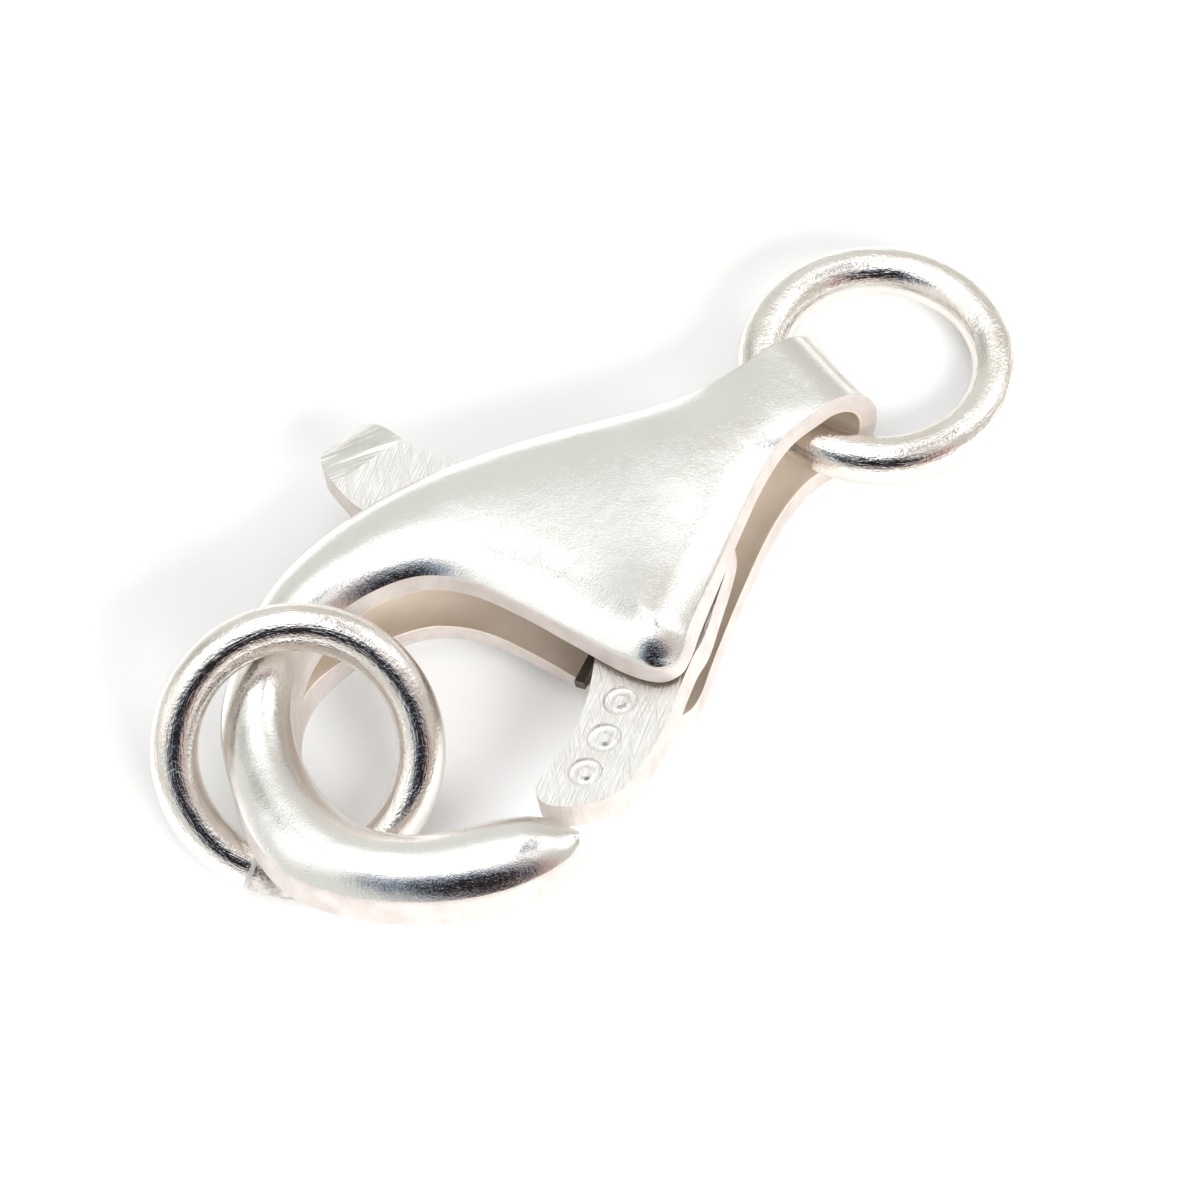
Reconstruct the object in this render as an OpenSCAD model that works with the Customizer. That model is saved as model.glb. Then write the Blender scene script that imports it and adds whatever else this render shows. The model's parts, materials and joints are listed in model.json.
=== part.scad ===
// Lobster clasp for a necklace or bracelet, in polished silver, with its two jump rings.
// A sheet is folded at the tail and pressed into two domed plates, which close into a solid
// hook. The trigger lever turns between the plates. The hook points to -X and the tail to +X.

/* [Shell] */
// Length from the tail fold to the nose of the hook
body_length = 13.7; // [12.5:0.1:15.5]
// Width from the outer side of the hook's tip to the straight back of the shell
body_width = 8.2; // [7.4:0.1:9.6]
// Play of the tail ring's wire inside the fold, on each side of the wire
ring_play = 0.16; // [0.14:0.01:0.3]
// How far a wide dome would stand above its cut edges
crown = 0.62; // [0.3:0.01:0.8]
// How far in from a cut edge the dome has mostly risen
rise_width = 0.55; // [0.4:0.01:0.9]
// Thickness of the folded sheet
sheet = 0.37; // [0.25:0.01:0.45]
// Width of the fold that carries the tail ring
tail_width = 1.74; // [1.2:0.02:2]

/* [Trigger] */
// Thickness of the lever plate
lever_thick = 0.58; // [0.4:0.01:0.64]
// Gap between the lever and the inner edge of the front plate
lever_gap = 0.06; // [0.04:0.01:0.1]
// Gap between the gate's end and the hook
gate_gap = 0.1; // [0.05:0.01:0.3]
// Reach of the thumb tab's end from the pivot
tab_reach = 5.4; // [4.8:0.05:6]
// Angle through which the end of the thumb tab is curled down
tab_curl = 34; // [10:1:50]
// Inner radius of that curl
curl_r = 1; // [0.6:0.05:1.5]
// Diameter of each of the three round punch marks on the gate
punch_d = 0.62; // [0.4:0.02:0.8]
// Depth of the punch marks
punch_depth = 0.07; // [0.03:0.01:0.15]

/* [Pivot and spring] */
// Diameter of the pivot pin
pin_d = 0.8; // [0.6:0.02:1]
// Running clearance round the pin, on the radius
pin_clearance = 0.05; // [0.03:0.01:0.1]
// Side of the square spring wire
wire_side = 0.2; // [0.12:0.01:0.22]
// Length of the spring's straight leg, whose end shows beside the gate
leg_length = 2.2; // [1.6:0.05:2.4]

/* [Jump rings] */
// Wire diameter of both jump rings
ring_wire = 0.84; // [0.7:0.02:1]
// Outer diameter of the ring in the tail fold
tail_ring_d = 4.9; // [4.4:0.02:5.6]
// Outer diameter of the ring on the hook
hook_ring_d = 5.1; // [5:0.02:5.8]
// Width of the butt seam in the ring on the hook
seam_gap = 0.08; // [0.04:0.01:0.2]

/* [Hidden] */
round_fn = 64;
silver = [0.87, 0.87, 0.86];
steel = [0.55, 0.55, 0.54];

// Sections of the shell from the fold to the hook's tip. Each row is one cut across the plate,
// seen from above, from its back edge to its edge on the gate's side. The places are shares of
// body_length and body_width, measured from the tail. The bow is how far the middle of the cut
// lies nearer to the tail than its ends do, as a share of body_length. The edge is the height of
// the cut edge as a share of fold_r, the rise is a share of crown, and the gap says how far the
// plates are apart: 1 is the full gap and 0 is solid.
BACK_X = 0;
BACK_Y = 1;
GATE_X = 2;
GATE_Y = 3;
BOW = 4;
EDGE = 5;
RISE = 6;
GAP = 7;
wire_r = ring_wire / 2;
fold_r = wire_r + ring_play + sheet;
fold_share = fold_r / body_length;
half_tail = tail_width / 2 / body_width;
sections = [
    // back_x, back_y, gate_x, gate_y, bow, edge, rise, gap
    [fold_share, half_tail, fold_share, -half_tail, 0, 1, 0, 1],
    [0.133, half_tail, 0.13, -half_tail - 0.008, 0, 1, 0.3, 1],
    [0.192, half_tail + 0.016, 0.192, -half_tail - 0.052, 0, 0.97, 0.7, 1],
    [0.257, 0.165, 0.259, -0.229, 0, 0.94, 0.95, 1],
    [0.329, 0.222, 0.326, -0.306, 0, 0.92, 1, 1],
    [0.395, 0.268, 0.381, -0.372, 0, 0.92, 1, 1],
    [0.453, 0.3, 0.418, -0.419, 0.01, 0.92, 1, 1],
    [0.498, 0.321, 0.445, -0.438, 0.03, 0.92, 1, 1],
    [0.534, 0.333, 0.472, -0.419, 0.05, 0.92, 1, 1],
    [0.57, 0.341, 0.495, -0.35, 0.07, 0.92, 1, 1],
    [0.607, 0.345, 0.516, -0.228, 0.08, 0.92, 1, 1],
    [0.647, 0.345, 0.539, -0.092, 0.08, 0.92, 1, 1],
    [0.69, 0.338, 0.567, 0.03, 0.07, 0.92, 1.03, 1],
    [0.735, 0.322, 0.607, 0.11, 0.05, 0.92, 1.1, 1],
    [0.774, 0.298, 0.658, 0.146, 0.03, 0.91, 1.2, 0.98],
    [0.816, 0.262, 0.716, 0.155, 0.015, 0.86, 1.3, 0.84],
    [0.859, 0.214, 0.774, 0.134, 0.005, 0.76, 1.4, 0.46],
    [0.903, 0.158, 0.818, 0.088, 0, 0.63, 1.5, 0],
    [0.94, 0.08, 0.851, 0.024, 0, 0.51, 1.5, 0],
    [0.971, -0.03, 0.875, -0.061, 0, 0.42, 1.5, 0],
    [0.994, -0.146, 0.885, -0.165, 0, 0.35, 1.55, 0],
    [0.997, -0.268, 0.876, -0.28, 0, 0.31, 1.55, 0],
    [0.969, -0.388, 0.844, -0.362, 0, 0.3, 1.6, 0],
    [0.92, -0.494, 0.803, -0.412, 0, 0.29, 1.6, 0],
    [0.861, -0.578, 0.763, -0.443, 0, 0.28, 1.6, 0],
    [0.803, -0.629, 0.731, -0.471, 0, 0.27, 1.6, 0],
    [0.752, -0.65, 0.701, -0.509, 0, 0.26, 1.6, 0],
    [0.712, -0.65, 0.683, -0.562, 0, 0.25, 1.6, 0],
    [0.687, -0.633, 0.674, -0.6, 0, 0.25, 1.6, 0],
];
last_row = len(sections) - 1;
// The row where the plates meet and the hook becomes solid
crotch_row = 17;
// The row through the corner, where the plates are widest and the lever comes out
corner_row = 7;
steps_between = 2;
points_across = 12;
fold_steps = 10;
plate_inner = sections[corner_row][EDGE] * fold_r - sheet;

// Smooth curve through four values or table rows, with t from 0 to 1 between the middle two
function blend_rows(a, b, c, d, t) =
    (2 * b + (c - a) * t + (2 * a - 5 * b + 4 * c - d) * t * t
        + (3 * b - a - 3 * c + d) * t * t * t) / 2;
function row_at(i) =
    i < 0 ? 2 * sections[0] - sections[1]
    : i > last_row ? 2 * sections[last_row] - sections[last_row - 1]
    : sections[i];
function section_at(s) =
    let (i = min(floor(s), last_row - 1))
    blend_rows(row_at(i - 1), row_at(i), row_at(i + 1), row_at(i + 2), s - i);

// A point across a section, seen from above: u runs from -1 at the back to 1 at the gate's side.
// The points lie closer together towards both edges.
function across(j) = (2 * j / points_across - 1 - cos(180 * j / points_across)) / 2;
function plan_point(row, u) = [
    -body_length * (row[BACK_X] * (1 - u) / 2 + row[GATE_X] * (1 + u) / 2
        - row[BOW] * (1 - u * u)),
    body_width * (row[BACK_Y] * (1 - u) + row[GATE_Y] * (1 + u)) / 2,
];

// The three edges that the domes rise from: the back, the gate's side and the hook's mouth
function edge_line(from, to, u) =
    [for (k = [from * steps_between:to * steps_between])
        plan_point(section_at(k / steps_between), u)];
back_line = edge_line(0, last_row, -1);
side_line = edge_line(0, corner_row, 1);
mouth_line = edge_line(corner_row, last_row, 1);
function segment_distance(p, a, b) =
    let (along = b - a, share = (p - a) * along / (along * along))
    norm(p - a - along * max(0, min(1, share)));
function line_distance(p, line) =
    min([for (i = [1:len(line) - 1]) segment_distance(p, line[i - 1], line[i])]);
// How far a point is from all three edges together: it is 0 on any of them, and it grows and
// turns smoothly between them
function depth_inside(p) =
    let (a = line_distance(p, back_line), b = line_distance(p, side_line),
        c = line_distance(p, mouth_line), sum = a * b + b * c + c * a)
    sum > 0 ? a * b * c / sum : 0;
function dome(row, u) =
    abs(u) == 1 ? 0
    : row[RISE] * crown * (1 - exp(-depth_inside(plan_point(row, u)) / rise_width));

// Each place of the shell as its section, its point in the plan and the dome's height there
function shell_place(s, u) =
    let (row = section_at(s), p = plan_point(row, u))
    [p.x, p.y, row[EDGE] * fold_r, dome(row, u), max(row[GAP], 0)];
places = [for (k = [0:last_row * steps_between]) [for (j = [0:points_across])
    shell_place(k / steps_between, across(j))]];
function outside(place, side) = [place.x, place.y, side * (place[2] + place[3])];
function inside(place, side) =
    [place.x, place.y, side * place[4] * (place[2] - sheet + place[3])];

// The clasp lies on its back dome at rest_row and on the hook's ring, which passes under the
// hook at under_row. So the whole clasp leans back towards its tail, by the angle that leaves
// under_gap between the ring's wire and the hook.
rest_row = 5;
under_row = 20;
under_gap = 0.06;
function depth_at(row) = max([for (place = places[row * steps_between]) place[2] + place[3]]);
function middle_at(row) = plan_point(sections[row], 0).x;
clasp_lean = asin((ring_wire + under_gap + depth_at(under_row) - depth_at(rest_row))
    / (middle_at(rest_row) - middle_at(under_row)));
function lean_back(p) = [
    p.x * cos(clasp_lean) + p.z * sin(clasp_lean),
    p.y,
    p.z * cos(clasp_lean) - p.x * sin(clasp_lean),
];
floor_z = min([for (row = places, place = row) lean_back(outside(place, -1)).z]);

// One closed ring of points round a plate: along its outside, then back along its inside
function plate_ring(k, side) = concat(
    [for (j = [0:points_across]) outside(places[k][j], side)],
    [for (j = [points_across:-1:0]) inside(places[k][j], side)]);
function fold_point(j, angle, radius) =
    [radius * cos(angle) - fold_r, -across(j) * tail_width / 2, radius * sin(angle)];
function fold_ring(angle) = concat(
    [for (j = [0:points_across]) fold_point(j, angle, fold_r)],
    [for (j = [points_across:-1:0]) fold_point(j, angle, fold_r - sheet)]);
// The same round the solid hook: along its front, down one wall, along its back and up again
function solid_ring(k) = concat(
    [for (j = [0:points_across]) outside(places[k][j], 1)],
    [inside(places[k][points_across], 1)],
    [for (j = [points_across:-1:0]) outside(places[k][j], -1)],
    [inside(places[k][0], 1)]);

function ring_middle(ring) = [for (p = ring) 1] * ring / len(ring);
// How far the nose stands past the last ring, as a share of the last step along the hook
nose_share = 0.35;

module body_shell() {
    plate_size = 2 * points_across + 2;
    solid_size = 2 * points_across + 4;
    plate_steps = crotch_row * steps_between;
    solid_steps = (last_row - crotch_row) * steps_between;
    front = [for (k = [plate_steps:-1:0]) plate_ring(k, 1)];
    fold = [for (k = [1:fold_steps - 1]) fold_ring(90 - 180 * k / fold_steps)];
    back = [for (k = [0:plate_steps]) plate_ring(k, -1)];
    plates = concat(front, fold, back);
    last = len(plates) - 1;
    solid = [for (k = [1:solid_steps]) solid_ring(plate_steps + k)];
    solid_start = last * plate_size + points_across + 1;
    nose_from = ring_middle(solid[solid_steps - 1]);
    nose = nose_from + nose_share * (nose_from - ring_middle(solid[solid_steps - 2]));
    // The last plate ring keeps its outside only, because its inside lies on the first one's
    points = concat(
        [for (k = [0:last - 1], p = plates[k]) p],
        [for (j = [0:points_across]) plates[last][j]],
        [for (ring = solid, p = ring) p],
        [nose]);
    function plate_index(k, j) =
        let (at = j % plate_size)
        k == last && at > points_across ? at : k * plate_size + at;
    // Ring 0 of the hook is made of the points that both plates already have at the crotch
    function solid_index(k, j) =
        let (at = j % solid_size)
        k > 0 ? solid_start + (k - 1) * solid_size + at
        : at <= points_across + 1 ? plate_index(0, at)
        : at == solid_size - 1 ? plate_index(0, plate_size - 1)
        : plate_index(last, solid_size - 2 - at);
    plate_faces = [for (k = [0:last - 1], j = [0:plate_size - 1])
        [plate_index(k, j), plate_index(k + 1, j), plate_index(k + 1, j + 1),
            plate_index(k, j + 1)]];
    solid_faces = [for (k = [0:solid_steps - 1], j = [0:solid_size - 1])
        [solid_index(k, j), solid_index(k, j + 1), solid_index(k + 1, j + 1),
            solid_index(k + 1, j)]];
    nose_faces = [for (j = [0:solid_size - 1])
        [solid_index(solid_steps, j), solid_index(solid_steps, j + 1), len(points) - 1]];
    color(silver)
        polyhedron(points, concat(plate_faces, solid_faces, nose_faces));
}

// The pivot stands where the plates are highest, on a place across one section
pivot_row = 5.46;
pivot_u = -0.022;
pivot = plan_point(section_at(pivot_row), pivot_u);
// The gate ends at gate_gap from the hook's inner side, which it meets past nose_row
nose_row = 21;
gate_reach = min([for (p = edge_line(nose_row, last_row, 1)) norm(p - pivot)]) - gate_gap;
pin_r = pin_d / 2;
bore_r = pin_r + pin_clearance;
pin_end_gap = 0.04;
lever_top = plate_inner - lever_gap;
lever_bottom = lever_top - lever_thick;

// Outline of the lever about its pivot. The gate arm is in shares of gate_reach, from the middle
// of the lever down its inner edge, round its end and back to the heel of the lever. The tab
// arm is in shares of tab_reach, from the heel up to the tab, round it and back down.
gate_arm = [
    [-0.148, -0.139], [-0.192, -0.27], [-0.254, -0.343], [-0.346, -0.437], [-0.452, -0.519],
    [-0.56, -0.574], [-0.66, -0.607], [-0.7, -0.64], [-0.704, -0.7], [-0.66, -0.756],
    [-0.6, -0.795], [-0.545, -0.818], [-0.48, -0.82], [-0.41, -0.797], [-0.335, -0.763],
    [-0.211, -0.694], [-0.13, -0.631], [-0.019, -0.552], [0.065, -0.506], [0.187, -0.407],
    [0.28, -0.33], [0.348, -0.262], [0.372, -0.2], [0.34, -0.12],
];
tab_arm = [
    [0.19, 0.06], [0.11, 0.22], [-0.02, 0.44], [-0.135, 0.635], [-0.188, 0.745],
    [-0.208, 0.83], [-0.225, 0.92], [-0.262, 0.972], [-0.32, 0.99], [-0.39, 0.975],
    [-0.44, 0.93], [-0.466, 0.86], [-0.474, 0.76], [-0.468, 0.667], [-0.41, 0.44],
    [-0.27, 0.19], [-0.19, 0.03],
];
outline_points = concat(gate_arm * gate_reach, tab_arm * tab_reach);
outline_steps = 3;
function closed_curve(points, steps) =
    let (n = len(points))
    [for (i = [0:n - 1], k = [0:steps - 1])
        blend_rows(points[(i + n - 1) % n], points[i], points[(i + 1) % n],
            points[(i + 2) % n], k / steps)];
// The tab curls down where this share of its reach is passed
curl_share = 0.8;
// The punch marks stand in a row along the gate, as places in shares of gate_reach
punch_places = [[-0.285, -0.53], [-0.41, -0.615], [-0.535, -0.685]];
// Each mark is a round groove, cut from above the lever down to punch_depth
punch_profile = [
    // share of punch_d from the middle, share of punch_depth
    [0.16, 0],
    [0.28, -1],
    [0.4, -1],
    [0.5, 0],
    [0.5, 1],
    [0.16, 1],
];
big = 4 * body_width;

// The lever is a flat plate whose end, at the thumb tab, follows a round bend downwards
module bent_plate() {
    curl_y = curl_share * tab_reach;
    translate([-big / 2, 0, 0]) rotate([90, 0, 90]) linear_extrude(big) union() {
        translate([-big / 2, lever_bottom]) square([big / 2 + curl_y, lever_thick]);
        translate([curl_y, lever_bottom - curl_r]) intersection() {
            difference() {
                circle(curl_r + lever_thick, $fn = round_fn);
                circle(curl_r, $fn = round_fn);
            }
            polygon([[0, 0], [0, big], [big * sin(tab_curl), big * cos(tab_curl)]]);
        }
    }
}

module punch_mark() {
    rotate_extrude($fn = round_fn)
        polygon([for (row = punch_profile) [row[0] * punch_d, row[1] * punch_depth]]);
}

module trigger_lever() {
    color(silver) translate([pivot.x, pivot.y, 0]) difference() {
        intersection() {
            bent_plate();
            translate([0, 0, lever_bottom - lever_thick]) linear_extrude(3 * lever_thick)
                polygon(closed_curve(outline_points, outline_steps));
        }
        translate([0, 0, lever_bottom - lever_thick])
            cylinder(h = 3 * lever_thick, r = bore_r, $fn = round_fn);
        for (place = punch_places * gate_reach)
            translate([place.x, place.y, lever_top]) punch_mark();
    }
}

module pivot_pin() {
    half = inside(shell_place(pivot_row, pivot_u), 1).z - pin_end_gap;
    color(steel) translate([pivot.x, pivot.y, -half])
        cylinder(h = 2 * half, r = pin_r, $fn = round_fn);
}

// The spring is an open loop round the pin with one straight leg, in the gap behind the lever.
// The leg points to leg_angle, and the loop is open over spring_open degrees.
leg_angle = 210;
spring_open = 40;

module leaf_spring() {
    loop_r = bore_r;
    spring_z = (lever_bottom - plate_inner) / 2 - wire_side / 2;
    color(steel) translate([pivot.x, pivot.y, spring_z]) rotate(leg_angle)
        linear_extrude(wire_side) union() {
            difference() {
                circle(loop_r + wire_side, $fn = round_fn);
                circle(loop_r, $fn = round_fn);
                polygon([[0, 0], [big * cos(90 - spring_open), big], [0, big]]);
            }
            translate([0, loop_r]) square([leg_length, wire_side]);
        }
}

module jump_ring(outer_d, opening) {
    color(silver) rotate_extrude(angle = 360 - opening, $fn = round_fn)
        translate([(outer_d - ring_wire) / 2, 0]) circle(d = ring_wire, $fn = round_fn);
}

// A ring leans on the floor at its low side, which points to the given heading
module leaning(centre, heading, tilt) {
    translate(centre) rotate([0, 0, heading]) rotate([0, tilt, 0]) children();
}

// The tail ring passes through the fold at tail_pass, which is given in shares of fold_r, and its
// other side rests on the floor
tail_r = (tail_ring_d - ring_wire) / 2;
tail_pass = lean_back(fold_r * [-1.42, 0.04, 0.04]);
tail_heading = -34;
tail_tilt = asin((tail_pass.z - wire_r - floor_z) / (tail_r * (1 + cos(tail_heading))));
tail_centre = tail_pass + tail_r * [
    pow(cos(tail_heading), 2) * cos(tail_tilt) + pow(sin(tail_heading), 2),
    -sin(tail_heading) * cos(tail_heading) * (1 - cos(tail_tilt)),
    -cos(tail_heading) * sin(tail_tilt),
];

module tail_ring() {
    leaning(tail_centre, tail_heading, tail_tilt) jump_ring(tail_ring_d, 0);
}

// The hook ring's low side rests on the floor under the hook. Its place is given in shares of
// body_length, body_width and the ring's own radius. From there the ring leans over the root of
// the hook, at the tilt that keeps its wire furthest from the shell.
hook_r = (hook_ring_d - ring_wire) / 2;
hook_heading = -114;
hook_low = [
    0.6 * hook_r - 1.005 * body_length,
    -0.1938 * body_width,
    floor_z + wire_r,
];
function ring_middle_at(tilt) = hook_low - hook_r * [
    cos(hook_heading) * cos(tilt),
    sin(hook_heading) * cos(tilt),
    -sin(tilt),
];
function circle_distance(p, middle, normal, radius) =
    let (from_middle = p - middle, height = from_middle * normal)
    norm([norm(from_middle - height * normal) - radius, height]);
function ring_clearance(tilt) =
    let (middle = ring_middle_at(tilt),
        normal = [cos(hook_heading) * sin(tilt), sin(hook_heading) * sin(tilt), cos(tilt)])
    min([for (row = places, place = row, side = [-1, 1])
        circle_distance(lean_back(outside(place, side)), middle, normal, hook_r)]);
tilts = [for (tilt = [30:0.5:50]) tilt];
clearances = [for (tilt = tilts) ring_clearance(tilt)];
hook_tilt = tilts[search(max(clearances), clearances)[0]];
hook_centre = ring_middle_at(hook_tilt);
// The seam's place round the ring
seam_at = -36;

module hook_ring() {
    seam_angle = 2 * asin(seam_gap / 2 / hook_r);
    leaning(hook_centre, hook_heading, hook_tilt)
        rotate(seam_at) jump_ring(hook_ring_d, seam_angle);
}

// The origin is on the surface that the clasp lies on, under the middle of its outer box
middle_x = (tail_centre.x + tail_ring_d / 2 + hook_centre.x - hook_ring_d / 2) / 2;
middle_y = (pivot.y + tab_reach + body_width * sections[last_row - 1][BACK_Y]) / 2;

module placed() {
    translate([-middle_x, -middle_y, -floor_z]) children();
}

module clasp_placed() {
    placed() rotate([0, clasp_lean, 0]) children();
}

clasp_placed() body_shell();
clasp_placed() trigger_lever();
clasp_placed() pivot_pin();
clasp_placed() leaf_spring();
placed() tail_ring();
placed() hook_ring();
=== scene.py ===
"""Render scene of a silver lobster clasp with two jump rings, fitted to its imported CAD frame."""

import json
import logging
import math
from collections.abc import Callable
from dataclasses import dataclass
from enum import Enum, IntEnum

import bmesh
import bpy
import numpy as np
from mathutils import Matrix, Vector

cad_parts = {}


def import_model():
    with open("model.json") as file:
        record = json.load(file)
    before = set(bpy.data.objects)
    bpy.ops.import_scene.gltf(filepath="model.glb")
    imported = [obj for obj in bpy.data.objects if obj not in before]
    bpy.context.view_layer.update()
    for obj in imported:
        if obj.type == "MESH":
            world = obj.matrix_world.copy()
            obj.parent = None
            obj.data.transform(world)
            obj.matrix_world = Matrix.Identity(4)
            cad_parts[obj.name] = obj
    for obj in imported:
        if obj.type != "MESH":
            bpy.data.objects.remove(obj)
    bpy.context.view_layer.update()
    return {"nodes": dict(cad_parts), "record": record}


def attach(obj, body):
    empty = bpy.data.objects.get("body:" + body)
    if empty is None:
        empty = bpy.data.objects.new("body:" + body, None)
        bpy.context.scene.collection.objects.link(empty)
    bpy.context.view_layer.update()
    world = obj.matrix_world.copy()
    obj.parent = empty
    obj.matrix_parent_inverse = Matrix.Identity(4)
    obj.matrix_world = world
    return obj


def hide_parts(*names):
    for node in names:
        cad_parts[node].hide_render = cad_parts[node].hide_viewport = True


log = logging.getLogger("lobster_clasp")

MM = 0.001  # metres in a millimetre: all sizes below are in millimetres
WELD = 0.0005  # points closer than this are joined into one
Triple = tuple[float, float, float]
Value = float | int | bool | tuple | bpy.types.NodeSocket | bpy.types.Material


class Body(Enum):
    """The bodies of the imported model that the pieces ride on."""

    CLASP = "clasp"
    TRIGGER = "trigger"


class Slot(Enum):
    """The names of the record's material slots."""

    SHELL = "polished_silver"
    LEVER = "stamped_silver"
    RING = "ring_silver"
    SPRING = "spring_steel"


def linear(hex_colour: str) -> tuple[float, float, float, float]:
    """Turn an sRGB hex colour into the linear colour that shaders take.

    Args:
        hex_colour: A colour such as "#F2F0EC".

    Returns:
        Red, green, blue and an alpha of 1, in linear light.
    """
    parts = [int(hex_colour[at:at + 2], 16) / 255 for at in (1, 3, 5)]
    light = [c / 12.92 if c <= 0.04045 else ((c + 0.055) / 1.055) ** 2.4 for c in parts]
    return (light[0], light[1], light[2], 1.0)


def add(tree: bpy.types.NodeTree, kind: str, values: dict[str | int, Value] | None = None,
        **settings: object) -> bpy.types.Node:
    """Add a node with its settings, and fill or link its input sockets.

    Args:
        tree: The node tree that gets the node.
        kind: The type of the node.
        values: Input sockets by name or number, with a plain value or another node's output.
        settings: Properties of the node itself.

    Returns:
        The new node.
    """
    node = tree.nodes.new(kind)
    for name, value in settings.items():
        setattr(node, name, value)
    for key, value in (values or {}).items():
        socket = node.inputs[key]
        if isinstance(value, bpy.types.NodeSocket):
            tree.links.new(value, socket)
        else:
            socket.default_value = value
    return node


def new_object(name: str, data: bpy.types.ID) -> bpy.types.Object:
    """Make an object of the data and link it to the scene.

    Args:
        name: The object's name.
        data: Its mesh, curve, light or camera.

    Returns:
        The new object.
    """
    thing = bpy.data.objects.new(name, data)
    bpy.context.scene.collection.objects.link(thing)
    return thing


def evaluated_mesh(thing: bpy.types.Object) -> bpy.types.Mesh:
    """Turn an object with its modifiers into a plain mesh.

    Args:
        thing: The object, whose modifiers are removed afterwards.

    Returns:
        The mesh as the modifiers leave it.
    """
    graph = bpy.context.evaluated_depsgraph_get()
    graph.update()
    mesh = bpy.data.meshes.new_from_object(thing.evaluated_get(graph), depsgraph=graph)
    thing.modifiers.clear()
    return mesh


def discard(thing: bpy.types.Object) -> None:
    """Remove a helper object from the scene."""
    bpy.data.objects.remove(thing, do_unlink=True)


def close_mesh(mesh: bpy.types.Mesh, merge: float = WELD) -> None:
    """Join doubled points, turn all faces outwards and log how many edges are left open.

    Args:
        mesh: The mesh to close, in mm.
        merge: How close points are joined, in mm.
    """
    work = bmesh.new()
    work.from_mesh(mesh)
    bmesh.ops.remove_doubles(work, verts=work.verts, dist=merge)
    bmesh.ops.dissolve_degenerate(work, edges=work.edges, dist=merge)
    bmesh.ops.recalc_face_normals(work, faces=work.faces)
    open_edges = sum(not edge.is_manifold for edge in work.edges)
    log.info("%s: %d faces, %d open edges", mesh.name, len(work.faces), open_edges)
    work.to_mesh(mesh)
    work.free()


def closed_object(name: str, points: list, faces: list, finishes: np.ndarray | None = None,
                  merge: float = WELD) -> bpy.types.Object:
    """Make an object of points and faces that close into one surface.

    Args:
        name: The object's name.
        points: The points, each with x, y and z in mm.
        faces: The numbers of each face's points.
        finishes: The number of each face's material slot, or None for slot 0.
        merge: How close points are joined, in mm.

    Returns:
        The new object, still in mm, with its faces pointing outwards.
    """
    mesh = bpy.data.meshes.new(name)
    mesh.from_pydata(points, [], faces)
    if finishes is not None:
        mesh.polygons.foreach_set("material_index", finishes)
    close_mesh(mesh, merge)
    return new_object(name, mesh)


def bare_tree(owner: bpy.types.Material | bpy.types.World) -> bpy.types.NodeTree:
    """Give a material or a world an empty node tree.

    Args:
        owner: The material or the world.

    Returns:
        Its node tree, without any node.
    """
    owner.use_nodes = True
    owner.node_tree.nodes.clear()
    return owner.node_tree


def toward(azimuth: float, elevation: float) -> Vector:
    """Give the direction at an azimuth and an elevation, in degrees, as seen from the object."""
    az, el = math.radians(azimuth), math.radians(elevation)
    return Vector((math.sin(az) * math.cos(el), -math.cos(az) * math.cos(el), math.sin(el)))


def move_points(mesh: bpy.types.Mesh, change: Callable[[np.ndarray], np.ndarray]) -> None:
    """Pass all points of a mesh through a function.

    Args:
        mesh: The mesh to change.
        change: Takes and returns an array of points, one row each.
    """
    points = np.empty(len(mesh.vertices) * 3)
    mesh.vertices.foreach_get("co", points)
    moved = np.ascontiguousarray(change(points.reshape(-1, 3)), dtype=np.float32)
    mesh.vertices.foreach_set("co", moved.ravel())
    mesh.update()


def smooth_curve(rows: np.ndarray, at: np.ndarray, closed: bool = False) -> np.ndarray:
    """Run a smooth curve through the rows of a table or the points of an outline.

    Args:
        rows: The table, one row for each whole place.
        at: The places to work out, counted in rows.
        closed: Whether the last row is followed by the first.

    Returns:
        One row for each place.
    """
    if closed:
        padded = np.vstack([rows[-1], rows, rows[0], rows[1]])
    else:
        padded = np.vstack([2 * rows[0] - rows[1], rows, 2 * rows[-1] - rows[-2]])
    whole = np.minimum(np.floor(at).astype(int), len(rows) - (1 if closed else 2))
    t = (at - whole)[:, None]
    a, b, c, d = (padded[whole + k] for k in range(4))
    return (2 * b + (c - a) * t + (2 * a - 5 * b + 4 * c - d) * t ** 2
            + (3 * b - a - 3 * c + d) * t ** 3) / 2


def distance_to_line(points: np.ndarray, line: np.ndarray) -> np.ndarray:
    """Measure how far points are from a line of straight pieces.

    Args:
        points: The points, one row each.
        line: The line's corners, one row each.

    Returns:
        One distance for each point.
    """
    nearest = np.full(len(points), np.inf)
    for start, end in zip(line[:-1], line[1:]):
        along = end - start
        share = np.clip((points - start) @ along / (along @ along), 0, 1)
        gaps = np.linalg.norm(points - start - share[:, None] * along, axis=1)
        nearest = np.minimum(nearest, gaps)
    return nearest


class Column(IntEnum):
    """The columns of the table of sections."""

    BACK_X = 0
    BACK_Y = 1
    GATE_X = 2
    GATE_Y = 3
    BOW = 4
    EDGE = 5
    RISE = 6
    GAP = 7


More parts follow.
